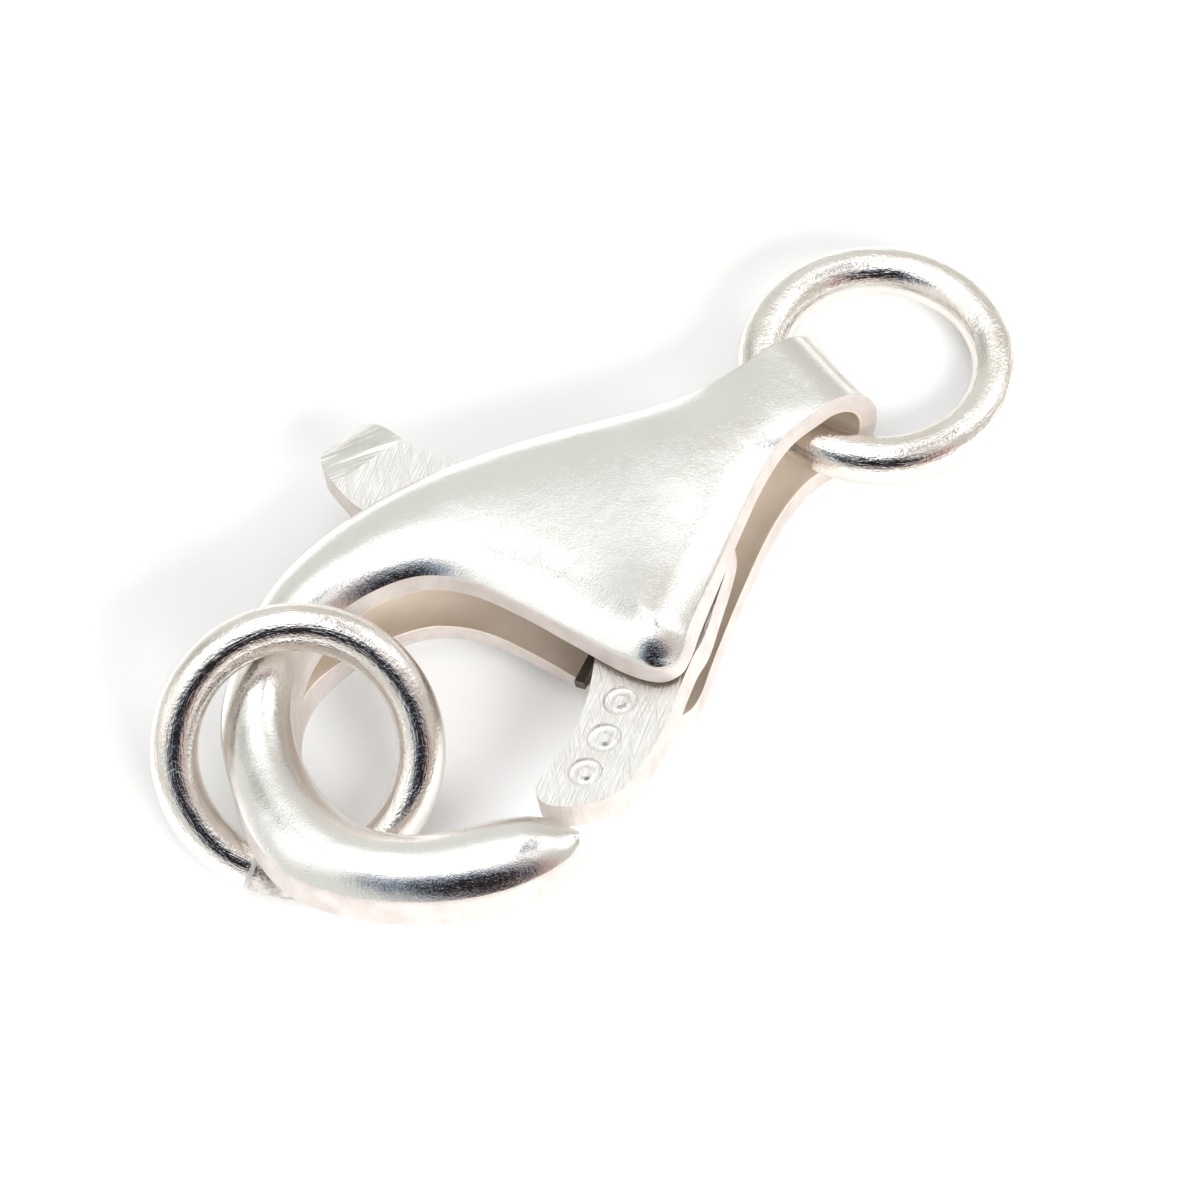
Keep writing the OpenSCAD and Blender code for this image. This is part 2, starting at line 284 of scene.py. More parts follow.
@dataclass(frozen=True)
class ClaspSizes:
    """The driving sizes that the shell and the lever share with the CAD model."""

    body_length: float = 13.7
    body_width: float = 8.2
    ring_wire: float = 0.84
    ring_play: float = 0.16
    crown: float = 0.62
    sheet: float = 0.37
    tail_width: float = 1.74

    @property
    def fold_r(self) -> float:
        """Outer radius of the tail fold."""
        return self.ring_wire / 2 + self.ring_play + self.sheet

    def sections(self) -> np.ndarray:
        """Give the sections of the shell, from the tail fold to the hook's tip.

        Returns:
            One row for each cut across the plate: its end on the back and its end on the gate's
            side as shares of length and width, its bow, the height of its edges as a share of
            fold_r, the rise as a share of crown, and how far the plates are apart.
        """
        fold_share = self.fold_r / self.body_length
        tail = self.tail_width / 2 / self.body_width
        return np.array([
            # back_x, back_y, gate_x, gate_y, bow, edge, rise, gap
            [fold_share, tail, fold_share, -tail, 0, 1, 0, 1],
            [0.133, tail, 0.13, -tail - 0.008, 0, 1, 0.3, 1],
            [0.192, tail + 0.016, 0.192, -tail - 0.052, 0, 0.97, 0.7, 1],
            [0.257, 0.165, 0.259, -0.229, 0, 0.94, 0.95, 1],
            [0.329, 0.222, 0.326, -0.306, 0, 0.92, 1, 1],
            [0.395, 0.268, 0.381, -0.372, 0, 0.92, 1, 1],
            [0.453, 0.3, 0.418, -0.419, 0.01, 0.92, 1, 1],
            [0.498, 0.321, 0.445, -0.438, 0.03, 0.92, 1, 1],
            [0.534, 0.333, 0.472, -0.419, 0.05, 0.92, 1, 1],
            [0.57, 0.341, 0.495, -0.35, 0.07, 0.92, 1, 1],
            [0.607, 0.345, 0.516, -0.228, 0.08, 0.92, 1, 1],
            [0.647, 0.345, 0.539, -0.092, 0.08, 0.92, 1, 1],
            [0.69, 0.338, 0.567, 0.03, 0.07, 0.92, 1.03, 1],
            [0.735, 0.322, 0.607, 0.11, 0.05, 0.92, 1.1, 1],
            [0.774, 0.298, 0.658, 0.146, 0.03, 0.91, 1.2, 0.98],
            [0.816, 0.262, 0.716, 0.155, 0.015, 0.86, 1.3, 0.84],
            [0.859, 0.214, 0.774, 0.134, 0.005, 0.76, 1.4, 0.46],
            [0.903, 0.158, 0.818, 0.088, 0, 0.63, 1.5, 0],
            [0.94, 0.08, 0.851, 0.024, 0, 0.51, 1.5, 0],
            [0.971, -0.03, 0.875, -0.061, 0, 0.42, 1.5, 0],
            [0.994, -0.146, 0.885, -0.165, 0, 0.35, 1.55, 0],
            [0.997, -0.268, 0.876, -0.28, 0, 0.31, 1.55, 0],
            [0.969, -0.388, 0.844, -0.362, 0, 0.3, 1.6, 0],
            [0.92, -0.494, 0.803, -0.412, 0, 0.29, 1.6, 0],
            [0.861, -0.578, 0.763, -0.443, 0, 0.28, 1.6, 0],
            [0.803, -0.629, 0.731, -0.471, 0, 0.27, 1.6, 0],
            [0.752, -0.65, 0.701, -0.509, 0, 0.26, 1.6, 0],
            [0.712, -0.65, 0.683, -0.562, 0, 0.25, 1.6, 0],
            [0.687, -0.633, 0.674, -0.6, 0, 0.25, 1.6, 0],
        ])


class ClaspPlan:
    """The clasp's rules in its own flat frame, before it leans back onto the floor.

    Each dome rises over shoulder_width from the edges. The edges meet at the gate's corner, where
    the shoulder follows a round of corner_round, blended in over corner_reach.
    """

    crotch_row = 17
    corner_row = 7
    line_steps = 12
    pivot_row = 5.46
    pivot_across = -0.022
    shoulder_width = 0.65
    corner_round = 0.85
    corner_offset = 0.08
    corner_soft = 0.1
    corner_reach = 1.6
    stretch = 1.5
    tiny = 1e-6

    def __init__(self, sizes: ClaspSizes) -> None:
        """Work out the three edges that the domes rise from.

        Args:
            sizes: The clasp's driving sizes.
        """
        self.sizes = sizes
        self.table = sizes.sections()
        self.last_row = len(self.table) - 1
        self.back_line = self.edge_line(0, self.last_row, -1)
        self.side_line = self.stretched(self.edge_line(0, self.corner_row - 1, 1))
        mouth = self.edge_line(self.corner_row + 1, self.last_row, 1)
        self.mouth_line = self.stretched(mouth[::-1])
        self.corner = self.edge_line(self.corner_row, self.corner_row, 1)[0]

    def plan_points(self, rows: np.ndarray, across: np.ndarray) -> np.ndarray:
        """Place points across sections, seen from above.

        Args:
            rows: Sections, one row each.
            across: For each section its places, from -1 at the back to 1 at the gate's side.

        Returns:
            An array of x and y for each section and place.
        """
        part = {column: rows[:, column][:, None] for column in Column}
        x = (part[Column.BACK_X] * (1 - across) / 2 + part[Column.GATE_X] * (1 + across) / 2
             - part[Column.BOW] * (1 - across ** 2))
        y = (part[Column.BACK_Y] * (1 - across) + part[Column.GATE_Y] * (1 + across)) / 2
        return np.stack([-self.sizes.body_length * x, self.sizes.body_width * y], axis=-1)

    def edge_line(self, first: int, last: int, side: int) -> np.ndarray:
        """Give one edge of the plan between two rows of the table.

        Args:
            first: The row where the edge starts.
            last: The row where it ends.
            side: Which edge: -1 for the back, 1 for the gate's side.

        Returns:
            The edge as a line of points, x and y.
        """
        at = np.linspace(first, last, (last - first) * self.line_steps + 1)
        rows = smooth_curve(self.table, at)
        return self.plan_points(rows, np.full((len(rows), 1), side))[:, 0]

    def stretched(self, line: np.ndarray) -> np.ndarray:
        """Run a line straight on past its last point."""
        step = line[-1] - line[-2]
        return np.vstack([line, line[-1] + self.stretch * step / np.linalg.norm(step)])

    def joined(self, first: np.ndarray, second: np.ndarray) -> np.ndarray:
        """Join the distances from two edges into one that is nowhere creased."""
        return 1 / (1 / (first + self.tiny) + 1 / (second + self.tiny))

    def rounded_corner(self, side: np.ndarray, mouth: np.ndarray) -> np.ndarray:
        """Join the distances from the two edges at the gate's corner in round curves.

        Args:
            side: Distances from the edge beside the tail.
            mouth: Distances from the edge of the mouth.

        Returns:
            How deep each point lies inside the rounded corner, hardly above 0 outside it.
        """
        size = self.corner_round
        short = [np.maximum(size - part, 0) for part in (side, mouth)]
        deep = np.minimum(side, mouth)
        inside = np.where(deep < size, size - np.hypot(short[0], short[1]), deep)
        inside += self.corner_offset
        return (inside + np.hypot(inside, self.corner_soft)) / 2

    def dome(self, rows: np.ndarray, points: np.ndarray, lift: float) -> np.ndarray:
        """Work out how far the dome stands above the edges at points of the plan.

        Args:
            rows: Sections, one row each.
            points: The points of each section.
            lift: How much fuller the dome is at the gate's corner, as a share.

        Returns:
            A height for each point, about 0 on the edges, with a round shoulder at the corner.
        """
        flat = points.reshape(-1, 2)
        back, side, mouth = (distance_to_line(flat, line)
                             for line in (self.back_line, self.side_line, self.mouth_line))
        away = np.linalg.norm(flat - self.corner, axis=1)
        near = np.exp(-(away / self.corner_reach) ** 2)
        gate_side = (near * self.rounded_corner(side, mouth)
                     + (1 - near) * self.joined(side, mouth))
        depth = self.joined(back, gate_side)
        crown = self.sizes.crown * (1 + lift * near)
        rise = crown * np.tanh(depth / self.shoulder_width)
        return rows[:, Column.RISE][:, None] * rise.reshape(points.shape[:2])

    @property
    def pivot(self) -> np.ndarray:
        """Where the lever's pivot stands in the plan."""
        rows = smooth_curve(self.table, np.array([self.pivot_row]))
        return self.plan_points(rows, np.array([[self.pivot_across]]))[0, 0]

    @property
    def plate_inner(self) -> float:
        """Height of the plates' inner edges where the lever comes out."""
        return self.table[self.corner_row, Column.EDGE] * self.sizes.fold_r - self.sizes.sheet


class ClaspPlace:
    """Where the leaning clasp lies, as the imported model's hinge says."""

    def __init__(self, record: dict, plan: ClaspPlan) -> None:
        """Read the hinge's place and axis from the record.

        Args:
            record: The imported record.
            plan: The clasp's plan, which knows the pivot in its own frame.
        """
        hinge = record["behaviour"]["joints"][0]
        lean = math.atan2(-hinge["axis"][0], -hinge["axis"][2])
        self.turn = np.array(Matrix.Rotation(lean, 3, "Y"))
        self.shift = np.array(hinge["pos_m"]) / MM - self.turn @ np.append(plan.pivot, 0.0)

    def to_frame(self, points: np.ndarray) -> np.ndarray:
        """Take points from the clasp's own flat frame to the shared frame, both in mm."""
        return points @ self.turn.T + self.shift


class MeshGrid:
    """Collects grids of points as quads of one mesh."""

    def __init__(self) -> None:
        """Start with no points."""
        self.points: list[np.ndarray] = []
        self.faces: list[np.ndarray] = []
        self.finishes: list[np.ndarray] = []
        self.count = 0

    def add_grid(self, points: np.ndarray, finish: int) -> None:
        """Add a grid of quads.

        Args:
            points: The grid's points, as rows of places with x, y and z.
            finish: The number of the material slot that its faces take.
        """
        high, wide = points.shape[:2]
        index = np.arange(high * wide).reshape(high, wide) + self.count
        quads = np.stack([index[:-1, :-1], index[1:, :-1], index[1:, 1:], index[:-1, 1:]], axis=-1)
        self.points.append(points.reshape(-1, 3))
        self.faces.append(quads.reshape(-1, 4))
        self.finishes.append(np.full(quads.shape[0] * quads.shape[1], finish))
        self.count += high * wide

    def to_object(self, name: str, merge: float) -> bpy.types.Object:
        """Make one closed object of all grids, with its faces pointing outwards.

        Args:
            name: The object's name.
            merge: How close points are joined, in mm.

        Returns:
            The new object, still in mm.
        """
        made = closed_object(name, np.vstack(self.points).tolist(),
                             np.vstack(self.faces).tolist(), np.concatenate(self.finishes), merge)
        made.data.shade_smooth()
        return made


@dataclass
class Shell:
    """The sheet silver shell: a folded tail, two domed plates and the solid hook."""

    plan: ClaspPlan
    place: ClaspPlace
    front_lift: float = 0.3
    back_lift: float = 0.0
    edge_round: float = 0.04
    round_steps: int = 4
    wall_steps: int = 4
    steps_per_row: int = 8
    points_across: int = 40
    fold_steps: int = 28
    round_share: float = 0.12
    nose_share: float = 0.35
    nose_steps: int = 5
    merge: float = 0.0004
    outer_finish: int = 0
    edge_finish: int = 1
    # slot of the inside, whose warm beige is partly painted shade between the plates
    inner_finish: int = 2
    upwards = np.array([0.0, 0.0, 1.0])

    def rounding(self, start: np.ndarray, corner: np.ndarray, end: np.ndarray) -> np.ndarray:
        """Curve from start to end past a corner, for each section.

        Args:
            start: Where the curve leaves, one row for each section.
            corner: The sharp corner that it cuts off.
            end: Where it arrives.

        Returns:
            The curve's points for each section.
        """
        t = np.linspace(0, 1, self.round_steps + 1)[None, :, None]
        return ((1 - t) ** 2 * start[:, None] + 2 * t * (1 - t) * corner[:, None]
                + t ** 2 * end[:, None])

    def profiles(self, at: np.ndarray, lift: float) -> dict[str, np.ndarray]:
        """Work out one plate's outline at places along the shell, as if it were the front one.

        Args:
            at: The places, counted in rows of the table.
            lift: How much fuller the dome is at the gate's corner, as a share.

        Returns:
            The outside, the two cut walls with their rounded upper edges and the inside, each as
            points for each section, from the back to the gate's side or from the outside inwards.
        """
        plan, sizes = self.plan, self.plan.sizes
        rows = smooth_curve(plan.table, at)
        height = rows[:, Column.EDGE] * sizes.fold_r
        gap = np.maximum(rows[:, Column.GAP], 0)
        inner = gap * (height - sizes.sheet)
        ends = plan.plan_points(rows, np.array([[-1.0, 1.0]] * len(rows)))
        width = np.linalg.norm(ends[:, 1] - ends[:, 0], axis=1)
        outer_r = np.minimum(self.edge_round, self.round_share * width)
        inner_r = np.minimum(outer_r, inner)
        j = np.arange(self.points_across + 1) / self.points_across
        spread = (2 * j - 1 - np.cos(math.pi * j)) / 2
        across = (1 - 2 * outer_r / width)[:, None] * spread
        points = plan.plan_points(rows, across)
        dome = plan.dome(rows, points, lift)
        outside = np.concatenate([points, (height[:, None] + dome)[..., None]], axis=-1)
        base = inner[:, None] + gap[:, None] * dome
        inside = np.concatenate([points, base[..., None]], axis=-1)
        feet, walls = [], []
        for side, last in ((0, 0), (1, -1)):
            rim, foot = (np.column_stack([ends[:, side], level]) for level in (height, inner))
            upper = self.rounding(outside[:, last], rim, rim - outer_r[:, None] * self.upwards)
            lower = self.rounding(inside[:, last], foot, foot + inner_r[:, None] * self.upwards)
            share = np.linspace(0, 1, self.wall_steps + 1)[None, 1:, None]
            straight = (1 - share) * upper[:, -1:] + share * lower[:, -1:]
            feet.append(lower)
            walls.append(np.concatenate([upper, straight], axis=1))
        inner_face = np.concatenate([feet[0][:, :0:-1], inside, feet[1][:, 1:]], axis=1)
        return {"outer": outside, "inner": inner_face, "back_wall": walls[0],
                "gate_wall": walls[1]}

    def folded(self, profile: np.ndarray) -> np.ndarray:
        """Turn a part of the first section round the tail fold, from the front to the back.

        Args:
            profile: The part's points in the front plate.

        Returns:
            The same points at each step round the fold.
        """
        fold_r = self.plan.sizes.fold_r
        angles = np.linspace(math.pi / 2, -math.pi / 2, self.fold_steps + 1)[:, None]
        y, r = profile[None, :, 1], profile[None, :, 2]
        x = r * np.cos(angles) - fold_r
        return np.stack([x, np.broadcast_to(y, x.shape), r * np.sin(angles)], axis=-1)

    def nose(self, loop: np.ndarray, before: np.ndarray) -> np.ndarray:
        """Round off the hook's tip from its last section.

        Args:
            loop: The last section's points, all the way round.
            before: The same points half a row earlier.

        Returns:
            Rings of points that close at the tip.
        """
        middle = loop.mean(axis=0)
        ahead = self.nose_share * (middle - before.mean(axis=0))
        angles = np.linspace(0, math.pi / 2, self.nose_steps + 1)[:, None, None]
        rings = middle + np.cos(angles) * (loop - middle) + np.sin(angles) * ahead
        return np.concatenate([rings, rings[:, :1]], axis=1)

    def build(self) -> bpy.types.Object:
        """Make the whole shell as one closed mesh.

        Returns:
            The shell in the shared frame, in metres.
        """
        plan = self.plan
        mirror = np.array([1.0, 1.0, -1.0])
        at = np.linspace(0, plan.last_row, plan.last_row * self.steps_per_row + 1)
        front = self.profiles(at, self.front_lift)
        back = {key: part * mirror for key, part in self.profiles(at, self.back_lift).items()}
        finishes = {"outer": self.outer_finish, "back_wall": self.edge_finish,
                    "gate_wall": self.edge_finish, "inner": self.inner_finish}
        open_count = plan.crotch_row * self.steps_per_row + 1
        grid = MeshGrid()
        for plate in (front, back):
            for key, finish in finishes.items():
                grid.add_grid(plate[key][:open_count] if key == "inner" else plate[key], finish)
        for key, finish in finishes.items():
            grid.add_grid(self.folded(front[key][0]), finish)
        loops = []
        for step in (-1, -1 - self.steps_per_row // 2):
            loops.append(np.concatenate([
                front["outer"][step], front["gate_wall"][step], back["gate_wall"][step][::-1],
                back["outer"][step][::-1], back["back_wall"][step],
                front["back_wall"][step][::-1]]))
        grid.add_grid(self.nose(loops[0], loops[1]), self.outer_finish)
        shell = grid.to_object("shell_plates_and_hook", self.merge)
        move_points(shell.data, self.settled)
        return shell

    def settled(self, points: np.ndarray) -> np.ndarray:
        """Lay the shell in its place, worn a little flat where its back rests.

        Args:
            points: The shell's points in the clasp's own flat frame, in mm.

        Returns:
            The points in the shared frame, in metres.
        """
        placed = self.place.to_frame(points)
        placed[:, 2] = np.maximum(placed[:, 2], 0.0)
        return placed * MM


@dataclass
class Lever:
    """The trigger lever: a filed gate on one side of the pivot and the thumb tab on the other."""

    plan: ClaspPlan
    place: ClaspPlace
    thick: float = 0.58
    gap: float = 0.06
    gate_gap: float = 0.1
    tab_reach: float = 5.4
    tab_curl: float = 34.0
    curl_r: float = 1.0
    curl_share: float = 0.8
    curl_steps: int = 28
    bore_r: float = 0.45
    punch_d: float = 0.62
    punch_depth: float = 0.07
    nose_row: int = 21
    outline_steps: int = 8
    lathe_steps: int = 64
    edge_round: float = 0.045
    bevel_steps: int = 3
    bevel_angle: float = 40.0
    sharp_angle: float = 35.0
    flat_slope: float = 0.8
    bent_slope: float = 0.6
    punch_reach: float = 1.2
    face_finish: int = 0
    side_finish: int = 1
    tab_finish: int = 2

    @property
    def top(self) -> float:
        """Height of the lever's front face."""
        return self.plan.plate_inner - self.gap

    @property
    def gate_reach(self) -> float:
        """Distance from the pivot to the gate's end."""
        nose_line = self.plan.edge_line(self.nose_row, self.plan.last_row, 1)
        return float(np.linalg.norm(nose_line - self.plan.pivot, axis=1).min()) - self.gate_gap

    def outline(self) -> np.ndarray:
        """Give the lever's outline about its pivot.

        Returns:
            A smooth closed line of points, x and y in mm.
        """
        # x and y of each point, as shares of gate_reach on the gate's arm and of tab_reach on the
        # tab's arm
        gate_arm = [
            [-0.148, -0.139], [-0.192, -0.27], [-0.254, -0.343], [-0.346, -0.437],
            [-0.452, -0.519], [-0.56, -0.574], [-0.66, -0.607], [-0.7, -0.64], [-0.704, -0.7],
            [-0.66, -0.756], [-0.6, -0.795], [-0.545, -0.818], [-0.48, -0.82], [-0.41, -0.797],
            [-0.335, -0.763], [-0.211, -0.694], [-0.13, -0.631], [-0.019, -0.552],
            [0.065, -0.506], [0.187, -0.407], [0.28, -0.33], [0.348, -0.262], [0.372, -0.2],
            [0.34, -0.12],
        ]
        tab_arm = [
            [0.19, 0.06], [0.11, 0.22], [-0.02, 0.44], [-0.135, 0.635], [-0.188, 0.745],
            [-0.208, 0.83], [-0.225, 0.92], [-0.262, 0.972], [-0.32, 0.99], [-0.39, 0.975],
            [-0.44, 0.93], [-0.466, 0.86], [-0.474, 0.76], [-0.468, 0.667], [-0.41, 0.44],
            [-0.27, 0.19], [-0.19, 0.03],
        ]
        corners = np.vstack([np.array(gate_arm) * self.gate_reach,
                             np.array(tab_arm) * self.tab_reach])
        at = np.arange(len(corners) * self.outline_steps) / self.outline_steps
        return smooth_curve(corners, at, closed=True)

    def prism(self, name: str, outline: np.ndarray, low: np.ndarray,
              high: np.ndarray) -> bpy.types.Object:
        """Stretch a closed outline between two planes.

        Args:
            name: The object's name.
            outline: The outline's points in space, one row each.
            low: Offset of the first plane.
            high: Offset of the second plane.

        Returns:
            A closed solid, in mm.
        """
        count = len(outline)
        points = np.vstack([outline + low, outline + high])
        faces = [list(range(count))[::-1], list(range(count, 2 * count))]
        faces += [[k, (k + 1) % count, (k + 1) % count + count, k + count] for k in range(count)]
        return closed_object(name, points.tolist(), faces)

    def bent_plate(self) -> bpy.types.Object:
        """Make the flat plate whose far end follows a round bend downwards.

        Returns:
            A plate wider than the lever, in mm.
        """
        width = 4 * self.tab_reach
        curl_y = self.curl_share * self.tab_reach
        bottom = self.top - self.thick
        angles = np.radians(np.linspace(0, self.tab_curl, self.curl_steps + 1))
        upper, lower = (
            [(curl_y + r * math.sin(a), bottom - self.curl_r + r * math.cos(a)) for a in angles]
            for r in (self.curl_r + self.thick, self.curl_r))
        side = [(-width, bottom), (-width, self.top)] + upper + lower[::-1]
        outline = np.array([[0.0, y, z] for y, z in side])
        reach = np.array([width, 0.0, 0.0])
        return self.prism("bent_plate", outline, -reach, reach)

    def lathe(self, name: str, profile: list[tuple[float, float]],
              centre: np.ndarray) -> bpy.types.Object:
        """Turn a closed profile of radius and height round an upright axis.

        A side of the profile that lies on the axis gives no faces.

        Args:
            name: The object's name.
            profile: Radius and height of each corner.
            centre: Where the axis stands.

        Returns:
            A closed ring or disc, in mm.
        """
        count = len(profile)
        points = []
        faces = []
        for step in range(self.lathe_steps):
            turn = 2 * math.pi * step / self.lathe_steps
            points += [(centre[0] + r * math.cos(turn), centre[1] + r * math.sin(turn), z)
                       for r, z in profile]
            here, ahead = step * count, (step + 1) % self.lathe_steps * count
            for i in range(count):
                k = (i + 1) % count
                if profile[i][0] > 0 or profile[k][0] > 0:
                    faces.append((here + i, ahead + i, ahead + k, here + k))
        return closed_object(name, points, faces)

    def tools(self) -> list[bpy.types.Object]:
        """Make the cutters of the bore and of the three round punch marks.

        Returns:
            The cutters, in mm.
        """
        high = self.top + self.thick
        low = self.top - 2 * self.thick
        bore = [(0.0, low), (self.bore_r, low), (self.bore_r, high), (0.0, high)]
        cutters = [self.lathe("bore_cutter", bore, np.zeros(2))]
        # radius as a share of punch_d, height above the face as a share of punch_depth
        groove = [(0.16, 0.0), (0.22, -0.75), (0.28, -1.0), (0.4, -1.0), (0.46, -0.75), (0.5, 0.0),
                  (0.5, 1.0), (0.16, 1.0)]
        profile = [(radius * self.punch_d, self.top + height * self.punch_depth)
                   for radius, height in groove]
        # x and y of each mark, as shares of gate_reach
        marks = [(-0.285, -0.53), (-0.41, -0.615), (-0.535, -0.685)]
        for mark in marks:
            cutters.append(self.lathe("punch_cutter", profile, np.array(mark) * self.gate_reach))
        return cutters

    def build(self) -> bpy.types.Object:
        """Make the lever with its bend, bore, punch marks and rounded edges.

        Returns:
            The lever in the shared frame, in metres.
        """
        plate = self.bent_plate()
        outline = self.outline()
        outline = np.column_stack([outline, np.zeros(len(outline))])
        reach = np.array([0.0, 0.0, 3 * self.thick])
        prism = self.prism("lever_outline", outline, -reach, reach)
        tools = self.tools()
        for operation, cutter in [("INTERSECT", prism)] + [("DIFFERENCE", c) for c in tools]:
            cut = plate.modifiers.new("cut", "BOOLEAN")
            cut.operation = operation
            cut.solver = "EXACT"
            cut.object = cutter
        solid = new_object("trigger_lever_plate", evaluated_mesh(plate))
        for helper in [plate, prism] + tools:
            discard(helper)
        bevel = solid.modifiers.new("bevel", "BEVEL")
        bevel.width = self.edge_round
        bevel.segments = self.bevel_steps
        bevel.limit_method = "ANGLE"
        bevel.angle_limit = math.radians(self.bevel_angle)
        solid.data = evaluated_mesh(solid)
        self.assign_finishes(solid.data)
        solid.data.shade_smooth()
        solid.data.set_sharp_from_angle(angle=math.radians(self.sharp_angle))
        shading = solid.modifiers.new("shading", "WEIGHTED_NORMAL")
        shading.keep_sharp = True
        solid.data = evaluated_mesh(solid)
        pivot = np.append(self.plan.pivot, 0.0)
        move_points(solid.data, lambda points: self.place.to_frame(points + pivot) * MM)
        return solid

    def assign_finishes(self, mesh: bpy.types.Mesh) -> None:
        """Give the gate's face, the thumb tab's face and the cut sides their finishes.

        Args:
            mesh: The lever's mesh about its pivot, in mm.
        """
        for face in mesh.polygons:
            bent = face.center.y > self.curl_share * self.tab_reach
            broad = abs(face.normal.z) > (self.bent_slope if bent else self.flat_slope)
            punched = face.center.z > self.top - self.punch_reach * self.punch_depth
            on_top = self.tab_finish if bent else self.face_finish
            face.material_index = on_top if broad or punched else self.side_finish


class ShapeTree:
    """A Geometry Nodes tree with named inputs, which ends in real geometry with its finish."""

    name = ""
    inputs: dict[str, str] = {}

    def __init__(self) -> None:
        """Build the tree with its inputs, its own nodes and its last nodes."""
        self.tree = bpy.data.node_groups.new(self.name, "GeometryNodeTree")
        self.sockets: dict[str, str] = {}
        face = self.tree.interface
        face.new_socket(name="Geometry", in_out="INPUT", socket_type="NodeSocketGeometry")
        for name, kind in self.inputs.items():
            socket = face.new_socket(name=name, in_out="INPUT", socket_type=f"NodeSocket{kind}")
            self.sockets[name] = socket.identifier
        face.new_socket(name="Geometry", in_out="OUTPUT", socket_type="NodeSocketGeometry")
        given = add(self.tree, "NodeGroupInput").outputs
        real = add(self.tree, "GeometryNodeRealizeInstances", {"Geometry": self.shape(given)})
        dressed = add(self.tree, "GeometryNodeSetMaterial",
                      {"Geometry": real.outputs[0], "Material": given["Finish"]})
        add(self.tree, "NodeGroupOutput", {0: dressed.outputs[0]})

    def shape(self, given: bpy.types.bpy_prop_collection) -> bpy.types.NodeSocket:
        """Add the tree's own nodes, from the given inputs to the shape's socket."""
        raise NotImplementedError

    def apply(self, name: str, carrier: bpy.types.Object,
              values: dict[str, Value]) -> bpy.types.Object:
        """Make a smooth mesh object by the tree.

        Args:
            name: The object's name.
            carrier: A helper object with the geometry that goes in. It is used up.
            values: The inputs by name.

        Returns:
            The new object, in mm, with its faces pointing outwards.
        """
        modifier = carrier.modifiers.new(self.name, "NODES")
        modifier.node_group = self.tree
        for key, value in values.items():
            modifier[self.sockets[key]] = value
        made = new_object(name, evaluated_mesh(carrier))
        discard(carrier)
        close_mesh(made.data)
        made.data.shade_smooth()
        return made


class WireRingTree(ShapeTree):
    """The Geometry Nodes tree that bends round wire into a jump ring."""

    name = "wire_ring"
    inputs = {"Ring Radius": "Float", "Wire Radius": "Float", "Seam Angle": "Float",
              "Steps Round": "Int", "Wire Sides": "Int", "Unevenness": "Float",
              "Finish": "Material"}
    seed = 3.0
    noise_scale = 0.6

    def shape(self, given: bpy.types.bpy_prop_collection) -> bpy.types.NodeSocket:
        """Add the nodes of an open or closed circle, swept with round wire and made uneven.

        Args:
            given: The tree's input sockets by name.

        Returns:
            The socket of the bent wire.
        """
        tree = self.tree
        sweep = add(tree, "ShaderNodeMath", {0: 2 * math.pi, 1: given["Seam Angle"]},
                    operation="SUBTRACT").outputs[0]
        arc = add(tree, "GeometryNodeCurveArc",
                  {"Resolution": given["Steps Round"], "Radius": given["Ring Radius"],
                   "Sweep Angle": sweep}).outputs["Curve"]
        circle, wire = (
            add(tree, "GeometryNodeCurvePrimitiveCircle",
                {"Resolution": given[steps], "Radius": given[radius]}).outputs["Curve"]
            for steps, radius in (("Steps Round", "Ring Radius"), ("Wire Sides", "Wire Radius")))
        has_seam = add(tree, "FunctionNodeCompare", {0: given["Seam Angle"], 1: 0.0},
                       operation="GREATER_THAN").outputs[0]
        path = add(tree, "GeometryNodeSwitch",
                   {"Switch": has_seam, "False": circle, "True": arc},
                   input_type="GEOMETRY").outputs[0]
        swept = add(tree, "GeometryNodeCurveToMesh",
                    {"Curve": path, "Profile Curve": wire, "Fill Caps": True}).outputs["Mesh"]
        noise = add(tree, "ShaderNodeTexNoise",
                    {"W": self.seed, "Scale": self.noise_scale, "Detail": 1.0},
                    noise_dimensions="4D")
        centred = add(tree, "ShaderNodeVectorMath",
                      {0: noise.outputs["Color"], 1: (0.5, 0.5, 0.5)},
                      operation="SUBTRACT").outputs[0]
        offset = add(tree, "ShaderNodeVectorMath",
                     {0: centred, "Scale": given["Unevenness"]}, operation="SCALE").outputs[0]
        uneven = add(tree, "GeometryNodeSetPosition", {"Geometry": swept, "Offset": offset})
        return add(tree, "GeometryNodeSetShadeSmooth", {"Geometry": uneven.outputs[0]}).outputs[0]


class SquareWireTree(ShapeTree):
    """The Geometry Nodes tree that sweeps square spring wire along a path."""

    name = "square_wire"
    inputs = {"Side": "Float", "Corner Radius": "Float", "Corner Steps": "Int",
              "Finish": "Material"}

    def shape(self, given: bpy.types.bpy_prop_collection) -> bpy.types.NodeSocket:
        """Add the nodes of a square with rounded corners, swept along the carrier's curve.

        Args:
            given: The tree's input sockets by name.

        Returns:
            The socket of the swept wire.
        """
        tree = self.tree
        square = add(tree, "GeometryNodeCurvePrimitiveQuadrilateral",
                     {"Width": given["Side"], "Height": given["Side"]}).outputs["Curve"]
        rounded = add(tree, "GeometryNodeFilletCurve",
                      {"Curve": square, "Count": given["Corner Steps"],
                       "Radius": given["Corner Radius"]}, mode="POLY").outputs["Curve"]
        return add(tree, "GeometryNodeCurveToMesh",
                   {"Curve": given["Geometry"], "Profile Curve": rounded,
                    "Fill Caps": True}).outputs["Mesh"]


